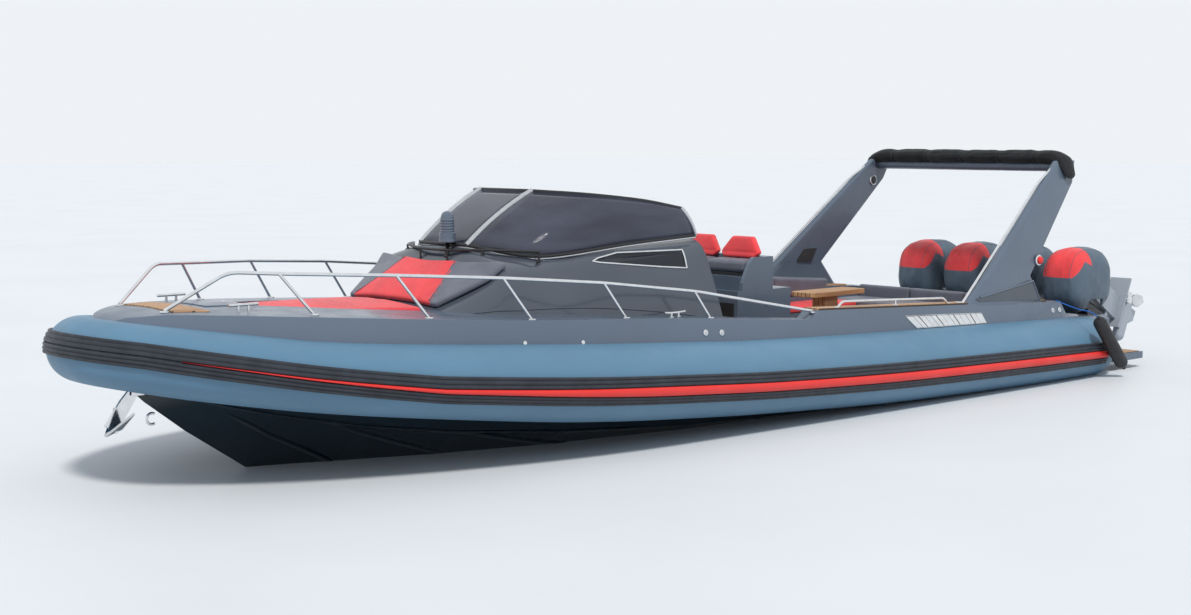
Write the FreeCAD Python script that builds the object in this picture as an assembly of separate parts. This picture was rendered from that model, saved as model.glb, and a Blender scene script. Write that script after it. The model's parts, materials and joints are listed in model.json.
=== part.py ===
import FreeCAD, Part
import math
import os

# A rigid inflatable boat with a cabin trunk, a raked arch and four outboard engines.
# Millimetres. +X to the bow, +Y to port, +Z up, Z = 0 at the waterline, X = 0 amidships.

os.makedirs("parts", exist_ok=True)
V = FreeCAD.Vector

# Clearance between a soft or loose piece and what it rests on
SEAT_GAP = 0.3

# Inflatable tube: places along the boat, height of the centre and radius.
# columns: x, centre height, radius
TUBE_STATIONS = [
    (-5950, 305, 150),
    (-5850, 308, 250),
    (-5650, 315, 336),
    (-4000, 355, 360),
    (-2000, 408, 362),
    (0, 493, 348),
    (1200, 572, 343),
    (2200, 645, 333),
    (3200, 733, 310),
    (4000, 809, 290),
    (4500, 866, 280),
    (5000, 942, 276),
    (5350, 998, 271),
]
TUBE_HALF_BEAM = 1600
TUBE_STRAIGHT_END = 1200
SHOULDER_X = 4450
SHOULDER_TURN = math.radians(17)
NOSE_X = 5600
NOSE_TURN = math.radians(38)
NOSE_HEADINGS = (50, 62, 74, 86)
NOSE_TIP_HEIGHT = 1085
NOSE_TIP_RADIUS = 255

# Rubbing strake on the tube, in degrees above the tube's widest line.
STRAKE_TOP = 15
STRAKE_BOTTOM = -27
STRIPE_TOP = -2
STRIPE_BOTTOM = -13
STRAKE_CLIMB = 20
STRAKE_CLIMB_START = 3600
STRAKE_THICKNESS = 26
STRIPE_THICKNESS = 36
STRAKE_BITE = 12
STRAKE_BEVEL = 2

# Hull bottom. columns: x, keel height, chine half width, chine height, side half width at the split
HULL_STATIONS = [
    (-6200, -500, 1230, -40, 1330),
    (-4000, -560, 1260, -40, 1360),
    (-1500, -600, 1280, -10, 1380),
    (500, -600, 1250, 60, 1380),
    (2000, -530, 1120, 160, 1360),
    (3000, -400, 930, 250, 1260),
    (3800, -210, 720, 360, 1110),
    (4500, 0, 500, 500, 900),
    (5050, 370, 260, 640, 600),
    (5400, 640, 90, 760, 330),
    (5560, 790, 40, 850, 180),
]

# Deck moulding. columns: x, split height, foot half width, foot height, edge half width, edge height, crown
DECK_STATIONS = [
    (-6200, 470, 1560, 600, 1500, 840, 840),
    (-4900, 470, 1590, 640, 1540, 880, 880),
    (-3200, 480, 1600, 690, 1545, 955, 955),
    (-960, 500, 1600, 760, 1545, 1050, 1050),
    (-860, 500, 1600, 765, 1545, 968, 975),
    (-60, 520, 1600, 795, 1545, 1030, 1040),
    (700, 550, 1600, 830, 1545, 1089, 1100),
    (1600, 610, 1595, 885, 1530, 1150, 1165),
    (2550, 690, 1500, 940, 1440, 1195, 1230),
    (3500, 780, 1340, 1000, 1270, 1260, 1300),
    (4400, 880, 1130, 1080, 1010, 1320, 1360),
    (5000, 960, 880, 1140, 760, 1355, 1385),
    (5400, 1020, 640, 1190, 500, 1370, 1390),
    (5640, 1060, 440, 1240, 300, 1350, 1360),
]

# Outboard engines
ENGINE_SPACING = 712
ENGINE_COUNT = 4
ENGINE_TILT = 65
PIVOT_X = -6290
PIVOT_Z = 640
OUTER_ENGINE_Y = 0.5 * (ENGINE_COUNT - 1) * ENGINE_SPACING
WELL_SIDE_ROOM = 377

# Cockpit, engine well and cabin space
COCKPIT_INSIDE_TUBE = 410
COAMING_INSIDE_TUBE = 260
COCKPIT = dict(aft=-5000, fore=100, half=TUBE_HALF_BEAM - COCKPIT_INSIDE_TUBE, ledge=820,
               upper_half=TUBE_HALF_BEAM - COAMING_INSIDE_TUBE)
SOLE_TOP = 450
ENGINE_WELL = dict(aft=-6260, fore=-5230, half=OUTER_ENGINE_Y + WELL_SIDE_ROOM, floor=470)
TRANSOM_X = -6200
TRANSOM_THICKNESS = 90
TRANSOM_TOP = 525
TRANSOM_HALF = OUTER_ENGINE_Y + 182
CABIN_SPACE = dict(aft=190, fore=2850, half=860, floor=350)
COAMING_CAP = dict(aft=-4890, fore=-960, inset=4, thickness=18)

# Cabin trunk. columns: x, foot half width and height, shoulder, knee, crown height
CABIN_STATIONS = [
    (100, 1270, 980, 1160, 1775, 700, 1790, 1790),
    (1200, 1255, 1050, 1110, 1725, 600, 1760, 1765),
    (2000, 1160, 1120, 920, 1655, 420, 1745, 1755),
    (2430, 1060, 1160, 940, 1600, 340, 1750, 1760),
    (2570, 1020, 1180, 890, 1475, 340, 1590, 1600),
    (3060, 830, 1200, 690, 1228, 300, 1238, 1240),
]
CABIN_WALL = 45

# Windshield ribs from the centre pane's corner aft. columns: foot x, y, z, head x, y, z
WINDSHIELD_RIBS = [
    (2430, 340, 1770, 1700, 370, 2240),
    (2010, 850, 1678, 1450, 780, 2215),
    (1110, 1050, 1765, 920, 1020, 2150),
    (335, 1120, 1815, 500, 1100, 2070),
]
GLASS_THICKNESS = 12
FRAME_RADIUS = 16
GLASS_INSET = FRAME_RADIUS + SEAT_GAP


def box(x0, x1, y0, y1, z0, z1):
    return Part.makeBox(x1 - x0, y1 - y0, z1 - z0, V(x0, y0, z0))


def rod(start, end, radius):
    a = V(*start)
    b = V(*end)
    return Part.makeCylinder(radius, (b - a).Length, a, b - a)


RAIL_SIDES = 10


def meet_plane(points, direction, origin, normal):
    """Slide points along a direction until they lie in a plane."""
    return [p + direction * ((origin - p).dot(normal) / direction.dot(normal)) for p in points]


def rail(points, radius):
    """Many-sided bar along straight runs, mitred at each bend."""
    line = [V(*p) for p in points]
    runs = [(b - a).normalize() for a, b in zip(line, line[1:])]
    across = runs[0].cross(V(0, 0, 1))
    if across.Length < 0.1:
        across = runs[0].cross(V(1, 0, 0))
    across.normalize()
    upward = across.cross(runs[0])
    ring = []
    for k in range(RAIL_SIDES):
        angle = 2 * math.pi * (k + 0.5) / RAIL_SIDES
        ring.append(line[0] + across * (radius * math.cos(angle)) + upward * (radius * math.sin(angle)))
    sections = [ring]
    for k, run in enumerate(runs):
        after = runs[min(k + 1, len(runs) - 1)]
        sections.append(meet_plane(sections[-1], run, line[k + 1], run + after))
    faces = []
    for near, far in zip(sections, sections[1:]):
        for k in range(RAIL_SIDES):
            side = [near[k - 1], near[k], far[k], far[k - 1], near[k - 1]]
            faces.append(Part.Face(Part.makePolygon(side)))
    for cap in (sections[0], sections[-1]):
        faces.append(Part.Face(Part.makePolygon(cap + [cap[0]])))
    bar = Part.Solid(Part.Shell(faces))
    if bar.Volume < 0:
        bar.reverse()
    return bar


def mirrored(shape):
    return shape.mirror(V(0, 0, 0), V(0, 1, 0))


def both_sides(shape):
    return [shape, mirrored(shape)]


def loft(sections, ruled=True):
    wires = [Part.makePolygon([V(*p) for p in s] + [V(*s[0])]) for s in sections]
    return Part.makeLoft(wires, True, ruled)


def flat_face(points):
    return Part.Face(Part.makePolygon(points + [points[0]]))


def faceted(sections):
    """Loft of flat faces only: every quad is split the same way on both sides of the middle."""
    rows = [[V(*p) for p in section] for section in sections]
    count = len(rows[0])
    faces = [flat_face(rows[0]), flat_face(rows[-1])]
    for near, far in zip(rows, rows[1:]):
        for k in range(count):
            j = (k + 1) % count
            if 2 * k < count - 1:
                faces += [flat_face([near[k], near[j], far[k]]), flat_face([near[j], far[j], far[k]])]
            else:
                faces += [flat_face([near[k], near[j], far[j]]), flat_face([near[k], far[j], far[k]])]
    solid = Part.Solid(Part.Shell(faces))
    if solid.Volume < 0:
        solid.reverse()
    return solid


def fused(shapes):
    result = shapes[0]
    for shape in shapes[1:]:
        result = result.fuse(shape)
    return result


def main_piece(shape):
    """Largest solid of a shape whose ends were trimmed by what it stands on."""
    return max(shape.Solids, key=lambda solid: solid.Volume)


def export(name, shapes):
    if not isinstance(shapes, list):
        shapes = [shapes]
    solids = [solid for shape in shapes for solid in shape.Solids]
    shape = solids[0] if len(solids) == 1 else Part.makeCompound(solids)
    shape.exportStep("parts/%s.step" % name)
    sound = all(solid.isValid() and solid.Volume > 0 for solid in solids)
    print("%-20s solids %d, volume %.4f m3%s" % (name, len(solids), shape.Volume / 1e9,
                                                 "" if sound else ", not sound"))


def between(table, x, column):
    """Value of one column at x, straight between the rows."""
    rows = sorted(table)
    if x <= rows[0][0]:
        return rows[0][column]
    for low, high in zip(rows, rows[1:]):
        if x <= high[0]:
            share = (x - low[0]) / (high[0] - low[0])
            return low[column] + share * (high[column] - low[column])
    return rows[-1][column]


# Plan of the tube's centre line: straight, shoulder arc, bow arc, nose arc.
SHOULDER_RADIUS = (SHOULDER_X - TUBE_STRAIGHT_END) / math.sin(SHOULDER_TURN)
SHOULDER_Y = TUBE_HALF_BEAM - SHOULDER_RADIUS * (1 - math.cos(SHOULDER_TURN))
BOW_RADIUS = (NOSE_X - SHOULDER_X) / (math.sin(NOSE_TURN) - math.sin(SHOULDER_TURN))
NOSE_Y = SHOULDER_Y - BOW_RADIUS * (math.cos(SHOULDER_TURN) - math.cos(NOSE_TURN))
NOSE_RADIUS = NOSE_Y / math.cos(NOSE_TURN)


def tube_plan(x):
    """Half width and heading, in radians, of the tube's centre line at x."""
    if x <= TUBE_STRAIGHT_END:
        return TUBE_HALF_BEAM, 0.0
    if x <= SHOULDER_X:
        heading = math.asin((x - TUBE_STRAIGHT_END) / SHOULDER_RADIUS)
        return TUBE_HALF_BEAM - SHOULDER_RADIUS * (1 - math.cos(heading)), heading
    heading = math.asin((x - SHOULDER_X) / BOW_RADIUS + math.sin(SHOULDER_TURN))
    return SHOULDER_Y - BOW_RADIUS * (math.cos(SHOULDER_TURN) - math.cos(heading)), heading


def tube_frames():
    """Centre, outward direction and radius of the tube's sections on the port side, stern to nose."""
    frames = []
    for x, height, radius in TUBE_STATIONS:
        y, heading = tube_plan(x)
        frames.append((V(x, y, height), heading, radius))
    last_x, last_height, last_radius = TUBE_STATIONS[-1]
    for degrees in NOSE_HEADINGS:
        heading = math.radians(degrees)
        x = NOSE_X + NOSE_RADIUS * (math.sin(heading) - math.sin(NOSE_TURN))
        share = (x - last_x) / (NOSE_X + NOSE_RADIUS * (1 - math.sin(NOSE_TURN)) - last_x)
        height = last_height + share * (NOSE_TIP_HEIGHT - last_height)
        radius = last_radius + share * (NOSE_TIP_RADIUS - last_radius)
        frames.append((V(x, NOSE_RADIUS * math.cos(heading), height), heading, radius))
    return frames


def full_tube_frames():
    port = tube_frames()
    tip_x = NOSE_X + NOSE_RADIUS * (1 - math.sin(NOSE_TURN))
    tip = (V(tip_x, 0, NOSE_TIP_HEIGHT), math.pi / 2, NOSE_TIP_RADIUS)
    starboard = [(V(c.x, -c.y, c.z), math.pi - h, r) for c, h, r in reversed(port)]
    return port + [tip] + starboard


def ring_point(frame, degrees, extra):
    """Point of a section, at an angle above its widest line and a distance outside the tube."""
    centre, heading, radius = frame
    outward = V(math.sin(heading), math.cos(heading), 0)
    angle = math.radians(degrees)
    reach = radius + extra
    return centre + outward * (reach * math.cos(angle)) + V(0, 0, reach * math.sin(angle))


def make_tube():
    wires = []
    for frame in full_tube_frames():
        centre, heading, radius = frame
        along = V(math.cos(heading), -math.sin(heading), 0)
        circle = Part.Circle(centre, along, radius)
        wires.append(Part.Wire([circle.toShape()]))
    return Part.makeLoft(wires, True, True)


def make_strake(top, bottom, thickness):
    """Band on the tube's outside, from one angle to another, that climbs towards the nose."""
    middle = 0.5 * (top + bottom)
    sections = []
    for frame in full_tube_frames()[2:-2]:
        climb = max(0, frame[0].x - STRAKE_CLIMB_START) / (NOSE_X - STRAKE_CLIMB_START) * STRAKE_CLIMB
        points = [
            ring_point(frame, top + climb, -STRAKE_BITE),
            ring_point(frame, top - STRAKE_BEVEL + climb, thickness),
            ring_point(frame, middle + climb, thickness),
            ring_point(frame, bottom + STRAKE_BEVEL + climb, thickness),
            ring_point(frame, bottom + climb, -STRAKE_BITE),
            ring_point(frame, middle + climb, -STRAKE_BITE),
        ]
        sections.append([(p.x, p.y, p.z) for p in points])
    return loft(sections)


def hull_section(row):
    x, keel, chine_y, chine_z, side_y = row
    split = between(DECK_STATIONS, x, 1)
    port = [(x, chine_y, chine_z), (x, side_y, split)]
    starboard = [(x, -side_y, split), (x, -chine_y, chine_z)]
    return [(x, 0, keel)] + port + starboard


def make_hull(tube):
    hull = loft([hull_section(row) for row in HULL_STATIONS])
    return hull.cut(tube)


def deck_section(row):
    x, split, foot_y, foot_z, edge_y, edge_z, crown = row
    port = [(x, foot_y, split), (x, foot_y, foot_z), (x, edge_y, edge_z)]
    starboard = [(x, -y, z) for _, y, z in reversed(port)]
    return port + [(x, 0, crown)] + starboard


def make_deck(tube):
    deck = loft([deck_section(row) for row in DECK_STATIONS])
    return deck.cut(tube)


def wells():
    cockpit = box(COCKPIT["aft"], COCKPIT["fore"], -COCKPIT["half"], COCKPIT["half"], SOLE_TOP, 3000)
    upper = box(COCKPIT["aft"], COCKPIT["fore"], -COCKPIT["upper_half"], COCKPIT["upper_half"],
                COCKPIT["ledge"], 3000)
    cockpit = cockpit.fuse(upper)
    engine_well = box(ENGINE_WELL["aft"], ENGINE_WELL["fore"], -ENGINE_WELL["half"], ENGINE_WELL["half"],
                      ENGINE_WELL["floor"], 3000)
    cabin = box(CABIN_SPACE["aft"], CABIN_SPACE["fore"], -CABIN_SPACE["half"], CABIN_SPACE["half"],
                CABIN_SPACE["floor"], 3000)
    return cockpit, engine_well, cabin


def cabin_section(row, inset, lower):
    x, foot_y, foot_z, shoulder_y, shoulder_z, knee_y, knee_z, crown = row
    port = [
        (x, foot_y - inset, foot_z - lower),
        (x, shoulder_y - inset, shoulder_z - inset),
        (x, knee_y, knee_z - inset),
    ]
    starboard = [(x, -y, z) for _, y, z in reversed(port)]
    return port + [(x, 0, crown - inset)] + starboard


CABIN_FLOOR_DROP = 400


def cabin_block():
    """Outside of the trunk as a full block."""
    return faceted([cabin_section(row, 0, 0) for row in CABIN_STATIONS])


def make_cabin(deck):
    inner = faceted([cabin_section(row, CABIN_WALL, CABIN_FLOOR_DROP) for row in CABIN_STATIONS])
    inner = inner.common(box(CABIN_SPACE["aft"], CABIN_SPACE["fore"], -2000, 2000, 0, 3000))
    return cabin_block().cut(inner).cut(deck)


SIDE_WINDOW = [(1600, 1640), (1530, 1655), (560, 1690), (545, 1530), (1150, 1560)]
DOOR = dict(low_y=120, high_y=600, low_z=480, high_z=1600)
DOOR_GAP = 6
DOOR_THICKNESS = 35
BULKHEAD_X = 100
HINGE_RADIUS = 8


def window_prism(grow):
    """Side window's outline pushed through the cabin side."""
    middle_x = sum(x for x, _ in SIDE_WINDOW) / len(SIDE_WINDOW)
    middle_z = sum(z for _, z in SIDE_WINDOW) / len(SIDE_WINDOW)
    points = []
    for x, z in SIDE_WINDOW:
        dx = x - middle_x
        dz = z - middle_z
        size = math.hypot(dx, dz)
        points.append(V(x + grow * dx / size, 900, z + grow * dz / size))
    face = Part.Face(Part.makePolygon(points + [points[0]]))
    return face.extrude(V(0, 500, 0))


def cabin_with_windows(cabin):
    window = window_prism(0)
    glass = cabin.common(window)
    cabin = cabin.cut(window).cut(mirrored(window))
    return cabin, glass


def windshield_lines():
    """Foot and head points from the starboard rear corner round to the port rear corner."""
    starboard = [(V(fx, -fy, fz), V(hx, -hy, hz)) for fx, fy, fz, hx, hy, hz in reversed(WINDSHIELD_RIBS)]
    port = [(V(fx, fy, fz), V(hx, hy, hz)) for fx, fy, fz, hx, hy, hz in WINDSHIELD_RIBS]
    return starboard + port


def pane(ribs):
    """Sheet of glass between neighbouring ribs, set into the frame round it."""
    ends = [(ribs[0], ribs[1]), (ribs[-1], ribs[-2])]
    inset = []
    for (foot, head), (next_foot, next_head) in ends:
        side_foot = next_foot - foot
        side_head = next_head - head
        inset.append((foot + side_foot * (GLASS_INSET / side_foot.Length),
                      head + side_head * (GLASS_INSET / side_head.Length)))
    lines = [inset[0]] + ribs[1:-1] + [inset[1]]
    sections = []
    for k, (foot, head) in enumerate(lines):
        before = lines[max(k - 1, 0)][0]
        after = lines[min(k + 1, len(lines) - 1)][0]
        rise = head - foot
        rise.normalize()
        out = (after - before).cross(rise)
        out.normalize()
        half = out * (0.5 * GLASS_THICKNESS)
        low = foot + rise * GLASS_INSET
        high = head - rise * GLASS_INSET
        corners = [low + half, high + half, high - half, low - half]
        sections.append([(c.x, c.y, c.z) for c in corners])
    return loft(sections)


def windshield_bars(radius):
    """Head rail, foot rail, the two mullions beside the centre pane and the rear posts."""
    ribs = windshield_lines()
    corner = len(WINDSHIELD_RIBS)
    feet = [tuple(foot) for foot, _ in ribs]
    heads = [tuple(head) for _, head in ribs]
    bars = [rail(heads, radius), rail(feet, radius)]
    for k in (0, corner - 1, corner, len(ribs) - 1):
        bars.append(rail([feet[k], heads[k]], radius))
    return fused(bars)


def make_windshield():
    ribs = windshield_lines()
    corner = len(WINDSHIELD_RIBS)
    panes = [pane(ribs[:corner]), pane(ribs[corner - 1:corner + 1]), pane(ribs[corner:])]
    rebate = windshield_bars(FRAME_RADIUS + SEAT_GAP)
    return [main_piece(sheet.cut(rebate)) for sheet in panes], windshield_bars(FRAME_RADIUS)


# Cushion sunk in the foredeck. columns: x, half width, edge height, crown height
BOW_PAD = [(4480, 200, 1345, 1362), (3900, 470, 1312, 1345), (3130, 640, 1288, 1325)]
BOW_PAD_THICKNESS = 75
# Cushion on the trunk's front slope: half of its outline in plan, as x, y
TRUNK_PAD = [(3005, 655), (2420, 900), (2540, 450), (2580, 0)]
TRUNK_PAD_LIFT = V(20, 0, 55)


def make_bow_pad():
    sections = []
    for x, half, edge, crown in BOW_PAD:
        low = crown - BOW_PAD_THICKNESS
        sections.append([(x, half, low), (x, half, edge), (x, 0, crown), (x, -half, edge), (x, -half, low)])
    return faceted(sections)


def make_trunk_pad(block):
    """Cushion that follows the trunk's front slope, between the block and a lifted copy of it."""
    outline = TRUNK_PAD + [(x, -y) for x, y in reversed(TRUNK_PAD[:-1])]
    plan = flat_face([V(x, y, 0) for x, y in outline]).extrude(V(0, 0, 3000))
    lifted = block.copy()
    lifted.translate(TRUNK_PAD_LIFT)
    return main_piece(lifted.common(plan).cut(block))


def make_rails():
    start = (5400, 370, 1390)
    corner = (4970, 590, 1680)
    # columns: top x, y, z, base x, y, z
    stanchions = [
        (4620, 770, 1660, 4380, 900, 1310),
        (3750, 1120, 1620, 3490, 1210, 1260),
        (2820, 1330, 1560, 2550, 1380, 1195),
        (1800, 1450, 1470, 1550, 1470, 1140),
        (680, 1450, 1330, 500, 1480, 1085),
    ]
    end = (-930, 1480, 1040)
    tops = [s[:3] for s in stanchions]
    top = rail([start, corner] + tops + [end], 16)
    posts = [rail([(s[3], s[4], s[5] - 10), s[:3]], 14) for s in stanchions]
    return fused([top] + posts)


# Rail round the windshield's foot. columns: x, y, z
HANDRAIL = [(2538, 200, 1725), (2420, 560, 1738), (2080, 925, 1725)]
HANDRAIL_POST = 250


def make_handrail():
    starboard = [(x, -y, z) for x, y, z in reversed(HANDRAIL)]
    bar = rail(starboard + HANDRAIL, 13)
    posts = []
    for x, y, z in starboard + HANDRAIL:
        posts.append(rail([(x, y * 0.99, z - HANDRAIL_POST), (x, y, z)], 9))
    return fused([bar] + posts)


SEARCHLIGHT_PLACE = (2498, 150)
# Searchlight on its stem, turned about the upright. columns: radius, height
SEARCHLIGHT_PROFILE = [(0, 1600), (20, 1600), (20, 1790), (78, 1790), (74, 1880), (62, 1900), (60, 2010),
                       (42, 2055), (0, 2070)]


def make_searchlight():
    x, y = SEARCHLIGHT_PLACE
    outline = [V(x + radius, y, z) for radius, z in SEARCHLIGHT_PROFILE]
    return flat_face(outline).revolve(V(x, y, 0), V(0, 0, 1), 360)


def make_cleat(x, y, z):
    bar = rod((x - 130, y, z + 55), (x + 130, y, z + 55), 13)
    legs = [rod((x + dx, y, z - 15), (x + dx, y, z + 55), 12) for dx in (-45, 45)]
    return fused([bar] + legs)


WHEEL_CENTRE = V(-235, -600, 1330)
WHEEL_TILT = 25
WHEEL_RADIUS = 175
WHEEL_SHAFT_LENGTH = 230
WHEEL_SHAFT_RADIUS = 16
SHAFT_CLEARANCE = 0.05


def turn_to_helm(shape):
    """Turn a shape drawn along +Z so that +Z points aft and up at the wheel's place."""
    shape.rotate(V(0, 0, 0), V(0, 1, 0), -90 + WHEEL_TILT)
    shape.translate(WHEEL_CENTRE)
    return shape


def make_helm(cabin):
    """Console on the cabin's aft face, starboard of the door."""
    console = loft([
        [(100, -1050, 950), (-60, -1050, 1300), (-120, -1050, 1480), (100, -1050, 1660)],
        [(100, -250, 950), (-60, -250, 1300), (-120, -250, 1480), (100, -250, 1660)],
    ])
    bearing = Part.makeCylinder(WHEEL_SHAFT_RADIUS + SHAFT_CLEARANCE, 2 * WHEEL_SHAFT_LENGTH,
                                V(0, 0, -WHEEL_SHAFT_LENGTH - SEAT_GAP), V(0, 0, 1))
    return console.cut(cabin).cut(turn_to_helm(bearing))


def make_wheel():
    ring = Part.makeTorus(WHEEL_RADIUS, 15, V(0, 0, 0), V(0, 0, 1))
    hub = Part.makeCylinder(45, 40, V(0, 0, -40), V(0, 0, 1))
    shaft = Part.makeCylinder(WHEEL_SHAFT_RADIUS, WHEEL_SHAFT_LENGTH, V(0, 0, -WHEEL_SHAFT_LENGTH), V(0, 0, 1))
    spokes = []
    for k in range(3):
        angle = math.radians(90 + 120 * k)
        tip = (WHEEL_RADIUS * math.cos(angle), WHEEL_RADIUS * math.sin(angle), 0)
        spokes.append(rod((0, 0, -20), tip, 11))
    return turn_to_helm(fused([ring, hub, shaft] + spokes))


def door_opening():
    return box(BULKHEAD_X - 1, CABIN_SPACE["aft"] + 1, DOOR["low_y"] - DOOR_GAP, DOOR["high_y"] + DOOR_GAP,
               DOOR["low_z"] - DOOR_GAP, DOOR["high_z"] + DOOR_GAP)


HINGE_INSET = 4
HINGE_LOW_END = 120
HINGE_HIGH_END = 40
HINGE_BLOCK = dict(height=30, depth=14, reach=44, overlap=1)


def hinge_axis():
    """x and y of the door's hinge line."""
    return BULKHEAD_X - HINGE_INSET, DOOR["high_y"] - HINGE_INSET


def make_door():
    """Cabin door flush with the bulkhead, with its hinge barrel at the outboard edge."""
    leaf = box(BULKHEAD_X, BULKHEAD_X + DOOR_THICKNESS, DOOR["low_y"], DOOR["high_y"],
               DOOR["low_z"], DOOR["high_z"])
    x, y = hinge_axis()
    low = DOOR["low_z"] + HINGE_LOW_END
    high = DOOR["high_z"] - HINGE_HIGH_END
    barrel = Part.makeCylinder(HINGE_RADIUS, high - low, V(x, y, low))
    return leaf.fuse(barrel)


def hinge_blocks():
    """Blocks that hold the hinge barrel at its lower and upper end."""
    _, y = hinge_axis()
    size = HINGE_BLOCK
    aft = BULKHEAD_X - size["depth"]
    face = BULKHEAD_X - size["overlap"]
    frame_edge = DOOR["high_y"] + DOOR_GAP + size["overlap"]
    blocks = []
    under = DOOR["low_z"] + HINGE_LOW_END - SEAT_GAP - size["height"]
    over = DOOR["high_z"] - HINGE_HIGH_END + SEAT_GAP
    for low in (under, over):
        high = low + size["height"]
        block = box(aft, face, y + size["overlap"], y + size["reach"], low, high)
        root = box(face, BULKHEAD_X + size["overlap"], frame_edge, y + size["reach"], low, high)
        blocks.append(block.fuse(root))
    return blocks


# Helm seat on its locker. Its sizes are x, y half widths and z in the boat's frame.
SEAT_LOCKER = dict(aft=-1590, fore=-790, half=620, top=1180)
SEAT_PLINTH = dict(aft=-1300, fore=-860, half=570, top=1320)
SEAT_NECK = dict(aft=-1250, fore=-960, half=520, top=1355)
SEAT_SHELL_AFT = -1315
SEAT_SHELL_TOP = 1515
SEAT_BACK_FOOT = (-1140, 1180)
SEAT_BACK_LEAN = 0.25
# Side of the seat shell. columns: x, z
SEAT_SIDE = [(-846, 1180), (-861, 1264), (-918, 1372), (-962, 1451), (-1006, 1500), (-1030, 1515),
             (SEAT_SHELL_AFT, SEAT_SHELL_TOP), (SEAT_SHELL_AFT, 1180)]
SEAT_SIDE_THICKNESS = 42
SEAT_SPACING = 570
SEAT_CUSHION = dict(fore=-945, half=262, top=1487)
# Front outline of a seat's back cushion. columns: y, z
BACK_CUSHION = [(-215, 1490), (-265, 1548), (-135, 1708), (135, 1708), (265, 1548), (215, 1490)]
BACK_CUSHION_THICKNESS = 75


def seat_back_face(z):
    """x of the seat shell's front face at a height."""
    return SEAT_BACK_FOOT[0] - (z - SEAT_BACK_FOOT[1]) * SEAT_BACK_LEAN


def side_loft(outline, low_y, high_y):
    """Block with a side outline of x, z points between two widths."""
    return loft([[(x, low_y, z) for x, z in outline], [(x, high_y, z) for x, z in outline]])


def middle_box(size, low, high):
    """Box from a table of aft, fore and half width, between two heights."""
    return box(size["aft"], size["fore"], -size["half"], size["half"], low, high)


def make_seat_module():
    locker = middle_box(SEAT_LOCKER, SOLE_TOP, SEAT_LOCKER["top"])
    plinth = middle_box(SEAT_PLINTH, SEAT_LOCKER["top"], SEAT_PLINTH["top"])
    neck = middle_box(SEAT_NECK, SEAT_PLINTH["top"], SEAT_NECK["top"])
    half = SEAT_LOCKER["half"]
    foot_x, foot_z = SEAT_BACK_FOOT
    back = side_loft([(SEAT_SHELL_AFT, foot_z), (foot_x, foot_z), (seat_back_face(SEAT_SHELL_TOP), SEAT_SHELL_TOP),
                      (SEAT_SHELL_AFT, SEAT_SHELL_TOP)], -half, half)
    side = side_loft(SEAT_SIDE, half - SEAT_SIDE_THICKNESS, half)
    return fused([locker, plinth, neck, back] + both_sides(side))


def make_helm_cushions():
    """Two seats, each a base cushion and a back cushion with cut corners."""
    pads = []
    seat = SEAT_CUSHION
    low = SEAT_NECK["top"] + SEAT_GAP
    aft_low = seat_back_face(low) + SEAT_GAP
    aft_high = seat_back_face(seat["top"]) + SEAT_GAP
    for y in (-0.5 * SEAT_SPACING, 0.5 * SEAT_SPACING):
        outline = [(aft_low, low), (seat["fore"], low), (seat["fore"], seat["top"]), (aft_high, seat["top"])]
        pads.append(side_loft(outline, y - seat["half"], y + seat["half"]))
        rear = [(seat_back_face(z) + SEAT_GAP, y + across, z) for across, z in BACK_CUSHION]
        front = [(x + BACK_CUSHION_THICKNESS, across, z) for x, across, z in rear]
        pads.append(loft([rear, front]))
    return pads


SOFA_TOP = 690
SOFA_WIDTH = 470
SOFA = dict(aft=-4990, fore=-2400, aft_bench_fore=-4350)
SOFA_CUSHION = 85
SOFA_BACK_TOP = 910
# Top of the side bench's back, fore and aft
SIDE_BACK_TOP = (1150, 1010)


def make_sofa():
    """U of lockers round the table: aft bench and two side benches."""
    half = COCKPIT["half"] - 2
    aft = box(SOFA["aft"], SOFA["aft_bench_fore"], -half, half, SOLE_TOP, SOFA_TOP)
    starboard = box(SOFA["aft_bench_fore"], SOFA["fore"], -half, -half + SOFA_WIDTH, SOLE_TOP, SOFA_TOP)
    port = box(SOFA["aft_bench_fore"], SOFA["fore"], half - SOFA_WIDTH, half, SOLE_TOP, SOFA_TOP)
    return fused([aft, starboard, port])


def make_sofa_cushions():
    low = SOFA_TOP + SEAT_GAP
    half = COCKPIT["half"] - 20
    inner = COCKPIT["half"] - SOFA_WIDTH + 10
    fore = SOFA["fore"] - 10
    bench = SOFA["aft_bench_fore"]
    high = low + SOFA_CUSHION
    seats = [
        box(SOFA["aft"] + 90, bench - 10, -half, half, low, high),
        box(bench, fore, -half, -inner, low, high),
        box(bench, fore, inner, half, low, high),
    ]
    ledge = COCKPIT["ledge"] + SEAT_GAP
    outer = COCKPIT["upper_half"] - 5
    fore_top, aft_top = SIDE_BACK_TOP
    side = side_loft([(bench, ledge), (fore, ledge), (fore, fore_top), (bench, aft_top)], -outer, -half - 5)
    backs = [box(SOFA["aft"] + 2, SOFA["aft"] + 85, -half, half, low, SOFA_BACK_TOP), side]
    return seats, backs


TABLE = dict(aft=-3400, fore=-2480, half=165, low=975, high=1030)
TABLE_POST = dict(aft=-2990, fore=-2770, half=90)
TABLE_FOOT = dict(aft=-3040, fore=-2720, half=140, height=20)


def make_table():
    top = middle_box(TABLE, TABLE["low"], TABLE["high"])
    post = middle_box(TABLE_POST, SOLE_TOP, TABLE["low"])
    foot = middle_box(TABLE_FOOT, SOLE_TOP, SOLE_TOP + TABLE_FOOT["height"])
    return top, post.fuse(foot)


def coaming_height(x):
    return between(DECK_STATIONS, x, 5)


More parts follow.
